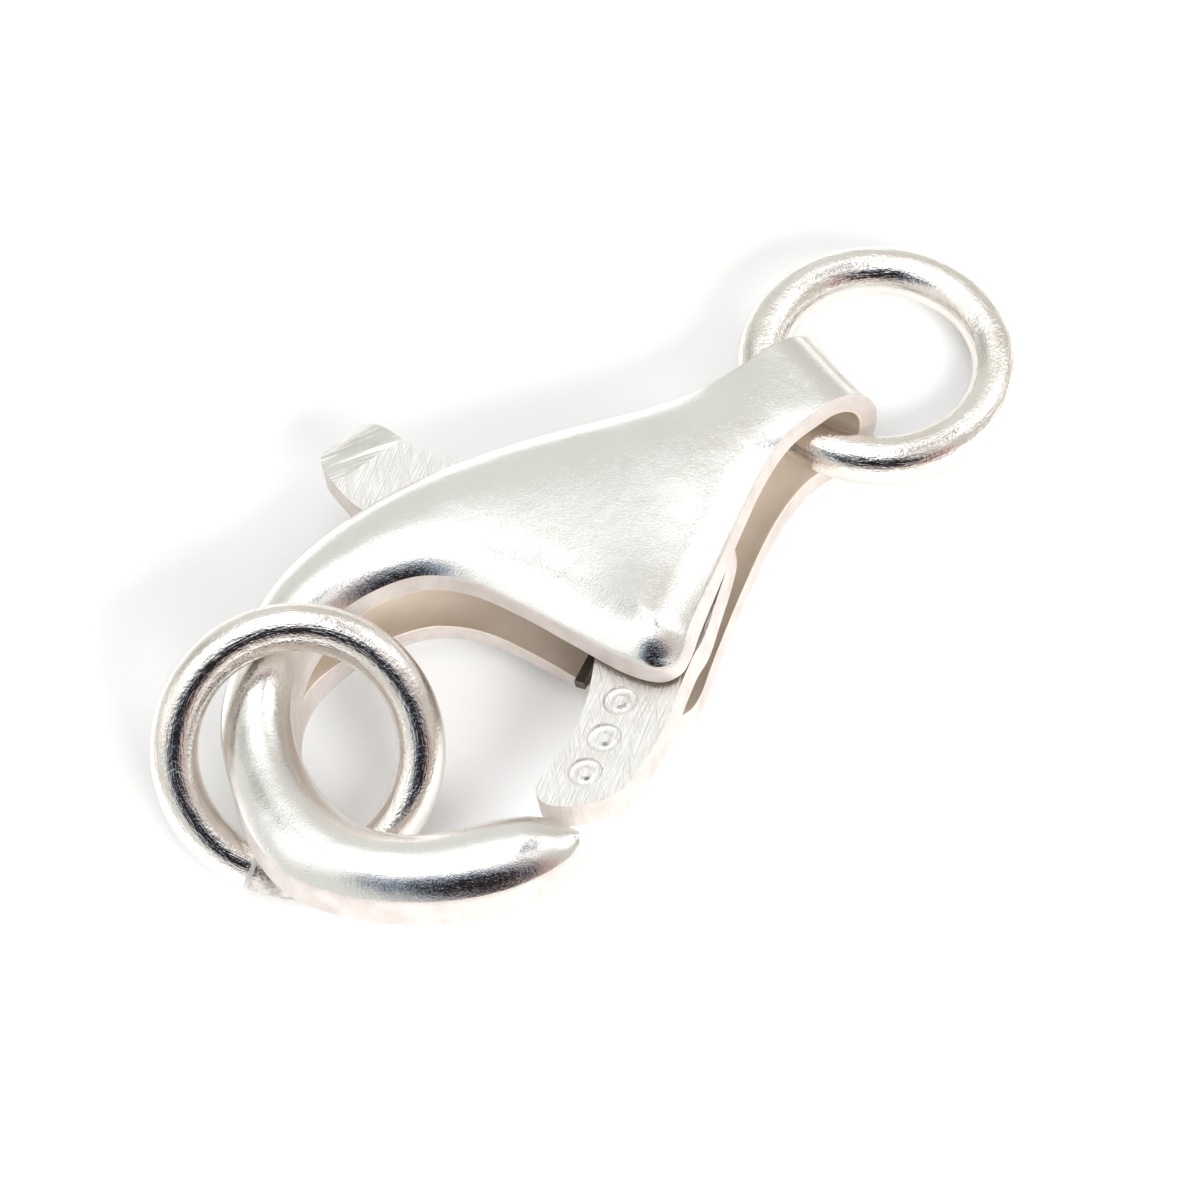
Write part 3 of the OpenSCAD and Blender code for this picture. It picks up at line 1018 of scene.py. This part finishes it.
@dataclass
class JumpRing:
    """One jump ring of round silver wire, closed or with a soldered butt seam."""

    name: str
    middle: Vector
    axis: Vector
    heading: float
    outer_d: float
    wire_d: float = 0.84
    seam_gap: float = 0.0
    seam_at: float = 0.0
    steps_round: int = 360
    wire_sides: int = 48
    unevenness: float = 0.012
    solder_length: float = 1.17
    lump_length: float = 1.44
    lump_height: float = 0.16
    lump_wear: float = 0.4
    waves_along: int = 5
    waves_about: int = 3
    solder_finish: int = 1

    @property
    def radius(self) -> float:
        """Radius of the wire's middle line."""
        return (self.outer_d - self.wire_d) / 2

    @property
    def seam_angle(self) -> float:
        """Angle that the seam takes out of the ring, in radians."""
        return 2 * math.asin(self.seam_gap / 2 / self.radius)

    def build(self, tree: WireRingTree, finish: bpy.types.Material) -> bpy.types.Object:
        """Bend the ring, solder its seam and lay it in its place.

        Args:
            tree: The Geometry Nodes tree that bends the wire.
            finish: The finish of the wire.

        Returns:
            The ring in the shared frame, in metres.
        """
        carrier = new_object("ring_carrier", bpy.data.meshes.new("ring_carrier"))
        ring = tree.apply(self.name, carrier, {
            "Ring Radius": self.radius, "Wire Radius": self.wire_d / 2,
            "Seam Angle": self.seam_angle, "Steps Round": self.steps_round,
            "Wire Sides": self.wire_sides, "Unevenness": self.unevenness, "Finish": finish})
        self.lay_wire_map(ring.data)
        if self.seam_gap:
            self.solder(ring.data)
        turn = Matrix.Rotation(math.radians(self.seam_at), 4, "Z")
        tilt = math.acos(self.axis.z)
        lie = Matrix.Rotation(math.radians(self.heading), 4, "Z") @ Matrix.Rotation(tilt, 4, "Y")
        ring.data.transform(Matrix.Scale(MM, 4) @ Matrix.Translation(self.middle) @ lie @ turn)
        return ring

    def lay_wire_map(self, mesh: bpy.types.Mesh) -> None:
        """Give the ring a UV map in mm: along the wire and round it.

        Args:
            mesh: The ring's mesh about its middle, in mm.
        """
        layer = mesh.uv_layers.new(name="wire")
        full = (2 * math.pi * self.radius, math.pi * self.wire_d)
        for face in mesh.polygons:
            rows = []
            for index in face.vertices:
                p = mesh.vertices[index].co
                along = math.atan2(p.y, p.x) * self.radius
                about = math.atan2(p.z, math.hypot(p.x, p.y) - self.radius) * self.wire_d / 2
                rows.append([along, about])
            for row in rows[1:]:
                for k in (0, 1):
                    row[k] -= full[k] * round((row[k] - rows[0][k]) / full[k])
            for loop, row in zip(face.loop_indices, rows):
                layer.data[loop].uv = row

    def solder(self, mesh: bpy.types.Mesh) -> None:
        """Raise a worn lump of solder beside the seam, on the upper side of the wire.

        Args:
            mesh: The ring's mesh about its middle, in mm.
        """
        lump_turn, solder_turn = self.lump_length / self.radius, self.solder_length / self.radius
        half_wire = self.wire_d / 2
        for point in mesh.vertices:
            p = point.co
            past = math.atan2(p.y, p.x) % (2 * math.pi)
            if past > lump_turn:
                continue
            share = math.sin(math.pi * past / lump_turn) ** 2
            middle = Vector((math.cos(past), math.sin(past), 0)) * self.radius
            out = (p - middle) / half_wire
            waves = math.sin(self.waves_along * past
                             + self.waves_about * math.atan2(out.z, out.x))
            lump = 1 - self.lump_wear * (1 - waves)
            raised = half_wire + self.lump_height * share * lump * max(0.0, out.z)
            point.co = middle + out * raised
        for face in mesh.polygons:
            past = math.atan2(face.center.y, face.center.x) % (2 * math.pi)
            if past < solder_turn:
                face.material_index = self.solder_finish


@dataclass
class LeafSpring:
    """The wire spring round the pin, with one straight leg that shows beside the gate."""

    plan: ClaspPlan
    place: ClaspPlace
    lever_bottom: float
    side: float = 0.2
    loop_r: float = 0.45
    leg_length: float = 2.2
    leg_angle: float = 210.0
    first_angle: float = 57.0
    last_angle: float = -270.0
    loop_steps: int = 64
    corner_r: float = 0.03
    corner_steps: int = 3
    sharp_angle: float = 40.0

    def path(self) -> list[Triple]:
        """Give the wire's middle line: round the pin, then straight out along the leg.

        Returns:
            The line's points about the pin, in mm.
        """
        r = self.loop_r + self.side / 2
        angles = np.radians(np.linspace(self.first_angle, self.last_angle, self.loop_steps + 1))
        loop = [(r * math.cos(a), r * math.sin(a), 0.0) for a in angles]
        return loop + [(self.leg_length, r, 0.0)]

    def build(self, tree: SquareWireTree, finish: bpy.types.Material) -> bpy.types.Object:
        """Sweep the spring and put it in the gap behind the lever.

        Args:
            tree: The Geometry Nodes tree that sweeps the wire.
            finish: The finish of the wire.

        Returns:
            The spring in the shared frame, in metres.
        """
        curve = bpy.data.curves.new("spring_path", "CURVE")
        curve.dimensions = "3D"
        spline = curve.splines.new("POLY")
        path = self.path()
        spline.points.add(len(path) - 1)
        for point, place in zip(spline.points, path):
            point.co = (*place, 1.0)
        spring = tree.apply("leaf_spring_wire", new_object("spring_carrier", curve), {
            "Side": self.side, "Corner Radius": self.corner_r, "Corner Steps": self.corner_steps,
            "Finish": finish})
        height = (self.lever_bottom - self.plan.plate_inner) / 2
        turn = Matrix.Rotation(math.radians(self.leg_angle), 4, "Z")
        spot = Vector((*self.plan.pivot, height))
        spring.data.transform(Matrix.Translation(spot) @ turn)
        move_points(spring.data, lambda points: self.place.to_frame(points) * MM)
        spring.data.set_sharp_from_angle(angle=math.radians(self.sharp_angle))
        return spring


def in_millimetres(tree: bpy.types.NodeTree, spacing: Triple, turn: Triple = (0, 0, 0),
                   wire: bool = False) -> bpy.types.NodeSocket:
    """Give coordinates whose unit is one spacing of a pattern.

    Args:
        tree: The material's tree.
        spacing: Size of one unit along each axis, in mm.
        turn: Rotation of the pattern about the axes, in degrees.
        wire: Whether the pattern follows the wire's own map, which is already in mm.

    Returns:
        The coordinate socket.
    """
    unit = 1.0 if wire else MM
    if wire:
        source = add(tree, "ShaderNodeUVMap", uv_map="wire").outputs["UV"]
    else:
        source = add(tree, "ShaderNodeTexCoord").outputs["Object"]
    turned = add(tree, "ShaderNodeMapping",
                 {"Vector": source, "Rotation": tuple(math.radians(a) for a in turn)},
                 vector_type="TEXTURE").outputs[0]
    scale = tuple(1 / (unit * s) for s in spacing)
    return add(tree, "ShaderNodeMapping", {"Vector": turned, "Scale": scale}).outputs[0]


@dataclass(frozen=True)
class Lines:
    """Fine scratches or draw lines: how far apart, how long, how deep, which ways, how bent."""

    apart: float
    length: float
    depth: float
    turns: tuple[Triple, ...] = ((0, 0, 0),)
    waver: float = 0.0
    wire: bool = False
    mark_from: float = 0.3
    mark_to: float = 0.55

    def field(self, tree: bpy.types.NodeTree) -> bpy.types.NodeSocket:
        """Make the marks, one set of them for each way that they run.

        Args:
            tree: The material's tree.

        Returns:
            The socket of a height field, 1 on the surface and 0 in a mark.
        """
        spacing = (self.length, self.apart, self.apart)
        fields = []
        for turn in self.turns:
            marks = add(tree, "ShaderNodeTexNoise",
                        {"Vector": in_millimetres(tree, spacing, turn, self.wire),
                         "Scale": 1.0, "Detail": 2.0, "Roughness": 0.5,
                         "Distortion": self.waver}).outputs["Fac"]
            fields.append(add(tree, "ShaderNodeMapRange",
                              {"Value": marks, "From Min": self.mark_from,
                               "From Max": self.mark_to}).outputs[0])
        deepest = fields[0]
        for other in fields[1:]:
            deepest = add(tree, "ShaderNodeMath", {0: deepest, 1: other},
                          operation="MINIMUM").outputs[0]
        return deepest


@dataclass(frozen=True)
class MetalFinish:
    """A worked metal surface: its colours, its gloss and the marks of its making."""

    name: str
    bright: str
    dull: str
    roughness: float
    roughness_spread: float
    patch: float
    grain: float
    grain_depth: float
    lines: Lines
    metallic: float = 1.0
    wave: float = 0.5
    wave_depth: float = 0.0
    dull_from: float = 0.35
    dull_to: float = 0.7

    def build(self) -> bpy.types.Material:
        """Make the material.

        Returns:
            A metal with patchy tone, fine grain and directed lines.
        """
        material = bpy.data.materials.new(self.name)
        tree = bare_tree(material)
        patches, grain, waves = (
            add(tree, "ShaderNodeTexNoise",
                {"Vector": in_millimetres(tree, (size,) * 3), "Scale": 1.0, "Detail": detail,
                 "Roughness": fineness}).outputs["Fac"]
            for size, detail, fineness in ((self.patch, 3.0, 0.6), (self.grain, 2.0, 0.5),
                                           (self.wave, 1.0, 0.5)))
        tone = add(tree, "ShaderNodeMapRange",
                   {"Value": patches, "From Min": self.dull_from,
                    "From Max": self.dull_to}).outputs[0]
        colour = add(tree, "ShaderNodeMix",
                     {"Factor": tone, "A": linear(self.bright), "B": linear(self.dull)},
                     data_type="RGBA")
        worn = add(tree, "ShaderNodeMath", {0: tone, 1: self.roughness_spread},
                   operation="MULTIPLY").outputs[0]
        rough = add(tree, "ShaderNodeMath", {0: worn, 1: self.roughness},
                    operation="ADD").outputs[0]
        relief = {}
        for height, depth in ((waves, self.wave_depth), (grain, self.grain_depth),
                              (self.lines.field(tree), self.lines.depth)):
            bump = add(tree, "ShaderNodeBump", {"Height": height, "Distance": depth * MM,
                                                "Strength": 1.0, **relief})
            relief = {"Normal": bump.outputs[0]}
        shader = add(tree, "ShaderNodeBsdfPrincipled",
                     {"Base Color": colour.outputs["Result"], "Metallic": self.metallic,
                      "Roughness": rough, **relief})
        add(tree, "ShaderNodeOutputMaterial", {"Surface": shader.outputs[0]})
        return material


# Sterling silver, mass-polished on a felt wheel: nearly a mirror, with faint hairlines that
# break up the edges of dark reflections, drawn coarser than real ones so that they show
POLISHED_SILVER = MetalFinish(
    name="sterling_silver_polished", bright="#F7F5F2", dull="#EFEDE9", roughness=0.06,
    roughness_spread=0.04, patch=2.4, grain=0.055, grain_depth=0.0024,
    lines=Lines(apart=0.04, length=0.16, depth=0.001, turns=((0, 0, 28), (0, 0, -47)),
                waver=2.0),
    wave=0.5, wave_depth=0.01)

# Sterling silver, blanked and not polished: a matte, slightly pinkish band along each cut edge
# with fine marks across it
CUT_SILVER = MetalFinish(
    name="sterling_silver_blanked_edge", bright="#E2DAD5", dull="#D4CBC5", roughness=0.5,
    roughness_spread=0.12, patch=0.5, grain=0.03, grain_depth=0.0015,
    lines=Lines(apart=0.05, length=2.0, depth=0.003, turns=((0, 90, 0),)), metallic=0.6)

# Sterling silver as it leaves the press, satin where no wheel reaches. Its warm beige on the
# inside between the plates is partly tarnish and partly painted shade: the dim, warm light
# bouncing between the plates
PRESSED_SILVER_AND_PAINTED_SHADE = MetalFinish(
    name="sterling_silver_as_pressed_painted_shade", bright="#EBDFD1", dull="#DFD1C1", roughness=0.6,
    roughness_spread=0.12, patch=1.2, grain=0.05, grain_depth=0.001,
    lines=Lines(apart=0.06, length=1.2, depth=0.001, turns=((0, 0, 35),)), metallic=0.3)

# Sterling silver, filed by hand: bright, with sharp scratches across the gate and the tab
FILED_SILVER = MetalFinish(
    name="sterling_silver_filed", bright="#FBF9F7", dull="#EFECE8", roughness=0.3,
    roughness_spread=0.12, patch=0.6, grain=0.04, grain_depth=0.002,
    lines=Lines(apart=0.05, length=0.9, depth=0.007, turns=((0, 0, 62), (0, 0, 35)),
                waver=0.2))

# Sterling silver, ground once on a coarse wheel: a few broad grooves across the thumb tab
GROUND_SILVER = MetalFinish(
    name="sterling_silver_ground", bright="#F6F4F0", dull="#D6D3CE", roughness=0.22,
    roughness_spread=0.1, patch=0.9, grain=0.05, grain_depth=0.002,
    lines=Lines(apart=0.3, length=3.0, depth=0.03, turns=((0, 0, -20),)))

# Sterling silver wire, drawn and polished: a mirror with dark speckled draw lines along it,
# coarser than real ones so that they show
DRAWN_SILVER = MetalFinish(
    name="sterling_silver_wire", bright="#F5F1EC", dull="#EBE4DC", roughness=0.1,
    roughness_spread=0.06, patch=0.9, grain=0.055, grain_depth=0.007,
    lines=Lines(apart=0.045, length=0.35, depth=0.0022, waver=0.8, wire=True),
    wave=0.35, wave_depth=0.012)

# Silver solder, melted and half filed off: matte and whitish
SOLDER = MetalFinish(
    name="silver_solder", bright="#E2DED8", dull="#ABA49C", roughness=0.24,
    roughness_spread=0.2, patch=0.3, grain=0.16, grain_depth=0.03,
    lines=Lines(apart=0.06, length=0.5, depth=0.006, turns=((0, 0, 15),)))

# Spring steel wire, square drawn: dark grey with a soft sheen
SPRING_STEEL = MetalFinish(
    name="spring_steel", bright="#6E6A66", dull="#55504C", roughness=0.32,
    roughness_spread=0.1, patch=0.4, grain=0.04, grain_depth=0.001,
    lines=Lines(apart=0.04, length=0.8, depth=0.001, turns=((0, 0, 30),)))

# Drawn steel pin: grey and satin
PIN_STEEL = MetalFinish(
    name="drawn_steel", bright="#B8B4AF", dull="#A09B95", roughness=0.28,
    roughness_spread=0.1, patch=0.5, grain=0.04, grain_depth=0.001,
    lines=Lines(apart=0.04, length=1.0, depth=0.001, turns=((0, 90, 0),)))


def dress(piece: bpy.types.Object, body: Body, finishes: list[bpy.types.Material],
          nodes: list[str]) -> None:
    """Give a piece its finishes and its body, and hide the CAD nodes that it stands for.

    Args:
        piece: The finished piece.
        body: The body that it rides on.
        finishes: The materials of its slots, in order.
        nodes: The CAD nodes that it replaces.
    """
    faces = piece.data.polygons
    chosen = np.empty(len(faces), dtype=np.int32)
    faces.foreach_get("material_index", chosen)
    piece.data.materials.clear()
    for finish in finishes:
        piece.data.materials.append(finish)
    faces.foreach_set("material_index", chosen)
    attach(piece, body.value)
    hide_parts(*nodes)
    log.info("%s replaces %s and rides on %s", piece.name, ", ".join(nodes), body.value)


@dataclass
class View:
    """The camera at the photograph's angle: a long lens from the front and above."""

    azimuth: float = -20.71
    elevation: float = 53.06
    roll: float = -18.64
    frame_width: float = 20.69
    distance: float = 1000.0
    nearest: float = 10.0
    farthest: float = 10000.0
    sensor: float = 36.0
    target: Triple = (-0.246, -0.498, 1.0)

    @property
    def back(self) -> Vector:
        """Direction from the object to the camera."""
        return toward(self.azimuth, self.elevation)

    @property
    def turn(self) -> Matrix:
        """The camera's turn: its columns are the picture's right and up, and the way back."""
        level = self.back.to_track_quat("Z", "Y").to_matrix()
        return level @ Matrix.Rotation(math.radians(self.roll), 3, "Z")

    def place_camera(self) -> None:
        """Make the camera and make it the scene's own."""
        data = bpy.data.cameras.new("camera")
        data.sensor_width = self.sensor
        data.lens = self.sensor * self.distance / self.frame_width
        data.clip_start = self.nearest * MM
        data.clip_end = self.farthest * MM
        camera = new_object("camera", data)
        spot = (Vector(self.target) + self.back * self.distance) * MM
        camera.matrix_world = Matrix.Translation(spot) @ self.turn.to_4x4()
        bpy.context.scene.camera = camera


@dataclass
class Panel:
    """A softbox that points to the object and shows in no mirror, only in its light."""

    name: str
    azimuth: float
    elevation: float
    distance: float
    width: float
    height: float
    radiance: float
    colour: str = "#FFFFFF"

    def build(self) -> None:
        """Make the light with its power worked out from its radiance and its area."""
        light = bpy.data.lights.new(self.name, "AREA")
        light.shape = "RECTANGLE"
        light.size = self.width * MM
        light.size_y = self.height * MM
        light.energy = self.radiance * math.pi * light.size * light.size_y
        light.color = linear(self.colour)[:3]
        lamp = new_object(self.name, light)
        lamp.visible_glossy = False
        back = toward(self.azimuth, self.elevation)
        lamp.matrix_world = (Matrix.Translation(back * self.distance * MM)
                             @ back.to_track_quat("Z", "Y").to_matrix().to_4x4())


@dataclass(frozen=True)
class Glow:
    """An oval patch of the surroundings that the silver mirrors, seen from the object."""

    name: str
    right: float
    up: float
    half_width: float
    half_height: float
    colour: str
    strength: float
    softness: float


@dataclass
class Studio:
    """A white tabletop studio: a floor board, pale surroundings with a lit ceiling, dark lens."""

    view: View
    floor_size: float = 900.0
    room: str = "#E2E3DF"
    side_wall: str = "#D3D0CA"
    room_strength: float = 1.0
    wall_from: float = -0.15
    wall_to: float = 0.45
    board: str = "#F8F8F8"
    board_roughness: float = 0.9
    tooth: float = 0.3
    tooth_depth: float = 0.002

    def build(self) -> None:
        """Make the surroundings, the floor and the key light."""
        self.make_surroundings((
            # name, degrees right and up of the camera, half width and half height in degrees,
            # colour, strength, softness of the rim
            Glow("left_wall", -66, 56, 14, 16, "#C3C4BE", 0.95, 0.4),
            Glow("left_reflector", -56, 18, 24, 20, "#FFFFFF", 1.2, 0.35),
            Glow("right_reflector", 38, 50, 22, 18, "#FFFFFF", 1.5, 0.35),
            Glow("ceiling_softbox", -9, 38, 34, 32, "#FFFFFF", 1.7, 0.3),
            Glow("softbox_rim", -22, 65.5, 13, 1.3, "#C3CCCB", 0.85, 0.6),
            Glow("softbox_seam", -37, 44, 2, 14, "#B4BFC4", 0.8, 0.6),
            Glow("ceiling_joint", 16, 40, 6, 20, "#AEB6BE", 0.75, 0.4),
            Glow("lens_fringe", 8, -17, 40, 27, "#D2B2AA", 0.85, 0.15),
            Glow("lens_rim", -2, -14, 35, 24, "#8F9FB4", 0.8, 0.15),
            Glow("lens", 3, -17, 28, 18, "#2B2526", 0.75, 0.25),
        ))
        self.make_floor()
        Panel("key_softbox", azimuth=-4.0, elevation=29.0, distance=420.0, width=200.0,
              height=170.0, radiance=21.0).build()

    def direction(self, right: float, up: float) -> Vector:
        """Turn angles to the right of the camera and above it into a direction.

        Args:
            right: Degrees to the right in the picture.
            up: Degrees up in the picture, not 0 where right is 0.

        Returns:
            The direction as seen from the object.
        """
        across, high, back = self.view.turn.col
        away = math.hypot(right, up)
        side = (across * right + high * up) / away
        return back * math.cos(math.radians(away)) + side * math.sin(math.radians(away))

    def make_surroundings(self, glows: tuple[Glow, ...]) -> None:
        """Light everything from a pale room in which the given patches hang.

        Args:
            glows: The patches, each laid over the ones before it.
        """
        world = bpy.data.worlds.new("pale_room")
        tree = bare_tree(world)
        seen = add(tree, "ShaderNodeTexCoord").outputs["Generated"]
        across = self.view.turn.col[0]
        sideways = add(tree, "ShaderNodeVectorMath", {0: seen, 1: tuple(across)},
                       operation="DOT_PRODUCT").outputs["Value"]
        to_side = add(tree, "ShaderNodeMapRange",
                      {"Value": sideways, "From Min": self.wall_from, "From Max": self.wall_to},
                      interpolation_type="SMOOTHSTEP").outputs[0]
        light = add(tree, "ShaderNodeMix",
                    {"Factor": to_side, "A": linear(self.room), "B": linear(self.side_wall)},
                    data_type="RGBA").outputs["Result"]
        for glow in glows:
            light = self.lay_glow(tree, seen, light, glow)
        out = add(tree, "ShaderNodeBackground", {"Color": light, "Strength": self.room_strength})
        add(tree, "ShaderNodeOutputWorld", {"Surface": out.outputs[0]})
        bpy.context.scene.world = world

    def lay_glow(self, tree: bpy.types.NodeTree, seen: bpy.types.NodeSocket,
                 light: bpy.types.NodeSocket, glow: Glow) -> bpy.types.NodeSocket:
        """Lay one oval patch over the light so far.

        Args:
            tree: The surroundings' node tree.
            seen: The direction that is looked at.
            light: The colour so far.
            glow: The patch.

        Returns:
            The colour with the patch in it.
        """
        centre = self.direction(glow.right, glow.up)
        across = self.view.turn.col[0]
        wide = (across - centre * across.dot(centre)).normalized()
        high = centre.cross(wide)
        shares = []
        for axis, half in ((wide, glow.half_width), (high, glow.half_height)):
            scaled = axis / math.sin(math.radians(half))
            shares.append(add(tree, "ShaderNodeVectorMath", {0: seen, 1: tuple(scaled)},
                              operation="DOT_PRODUCT").outputs["Value"])
        both = add(tree, "ShaderNodeCombineXYZ", {0: shares[0], 1: shares[1]})
        away = add(tree, "ShaderNodeVectorMath", {0: both.outputs[0]},
                   operation="LENGTH").outputs["Value"]
        inside = add(tree, "ShaderNodeMapRange",
                     {"Value": away, "From Min": 1 + glow.softness, "From Max": 1 - glow.softness},
                     interpolation_type="SMOOTHSTEP").outputs[0]
        ahead = add(tree, "ShaderNodeVectorMath", {0: seen, 1: tuple(centre)},
                    operation="DOT_PRODUCT").outputs["Value"]
        facing = add(tree, "ShaderNodeMath", {0: ahead, 1: 0.0},
                     operation="GREATER_THAN").outputs[0]
        share = add(tree, "ShaderNodeMath", {0: inside, 1: facing}, operation="MULTIPLY")
        bright = tuple(c * glow.strength for c in linear(glow.colour)[:3]) + (1.0,)
        mix = add(tree, "ShaderNodeMix", {"Factor": share.outputs[0], "A": light, "B": bright},
                  data_type="RGBA")
        return mix.outputs["Result"]

    def make_floor(self) -> None:
        """Lay a white matte board under the object."""
        half = self.floor_size / 2 * MM
        mesh = bpy.data.meshes.new("floor_board")
        mesh.from_pydata([(-half, -half, 0), (half, -half, 0), (half, half, 0), (-half, half, 0)],
                         [], [(0, 1, 2, 3)])
        floor = new_object("floor_board", mesh)
        board = bpy.data.materials.new("white_board")
        tree = bare_tree(board)
        tooth = add(tree, "ShaderNodeTexNoise",
                    {"Vector": in_millimetres(tree, (self.tooth,) * 3), "Scale": 1.0})
        bump = add(tree, "ShaderNodeBump", {"Height": tooth.outputs["Fac"],
                                            "Distance": self.tooth_depth * MM, "Strength": 1.0})
        shader = add(tree, "ShaderNodeBsdfPrincipled",
                     {"Base Color": linear(self.board), "Roughness": self.board_roughness,
                      "Normal": bump.outputs[0]})
        add(tree, "ShaderNodeOutputMaterial", {"Surface": shader.outputs[0]})
        mesh.materials.append(board)


def build_pieces(record: dict, nodes: dict) -> None:
    """Build and dress all pieces of the clasp.

    Args:
        record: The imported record.
        nodes: The CAD nodes by name.
    """
    plan = ClaspPlan(ClaspSizes())
    place = ClaspPlace(record, plan)
    # the pressed finish's warm beige on the shell's inside is partly tarnish and partly painted
    # shade between the plates
    silver, cut, pressed_and_shade = (finish.build()
                            for finish in (POLISHED_SILVER, CUT_SILVER, PRESSED_SILVER_AND_PAINTED_SHADE))
    shell = Shell(plan, place).build()
    dress(shell, Body.CLASP, [silver, cut, pressed_and_shade], ["body_shell"])
    lever = Lever(plan, place)
    dress(lever.build(), Body.TRIGGER,
          [FILED_SILVER.build(), cut, GROUND_SILVER.build()], ["trigger_lever"])
    wire, solder = DRAWN_SILVER.build(), SOLDER.build()
    mounts = {mount["name"]: mount for mount in record["mounts"]}
    ring_tree = WireRingTree()
    rings = {
        "tail_ring": {"name": "tail_jump_ring", "heading": -34.0, "outer_d": 4.9},
        "hook_ring": {"name": "hook_jump_ring", "heading": -114.0, "outer_d": 5.1,
                      "seam_gap": 0.08, "seam_at": -36.0},
    }
    for node, sizes in rings.items():
        eye = mounts[f"{node}_eye"]
        ring = JumpRing(middle=Vector(eye["pos_m"]) / MM, axis=Vector(eye["axis"]), **sizes)
        dress(ring.build(ring_tree, wire), Body.CLASP, [wire, solder], [node])
    spring = LeafSpring(plan, place, lever.top - lever.thick)
    steel = SPRING_STEEL.build()
    dress(spring.build(SquareWireTree(), steel), Body.CLASP, [steel],
          ["leaf_spring"])
    pin = nodes["pivot_pin"]
    pin.data.materials.clear()
    pin.data.materials.append(PIN_STEEL.build())
    log.info("%s is the CAD node with its own finish", pin.name)


def main() -> None:
    """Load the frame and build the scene."""
    logging.basicConfig(level=logging.INFO, format="%(message)s")
    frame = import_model()
    view = View()
    view.place_camera()
    build_pieces(frame["record"], frame["nodes"])
    Studio(view).build()
    bpy.context.scene.view_settings.view_transform = "Standard"


if __name__ == "__main__":
    main()
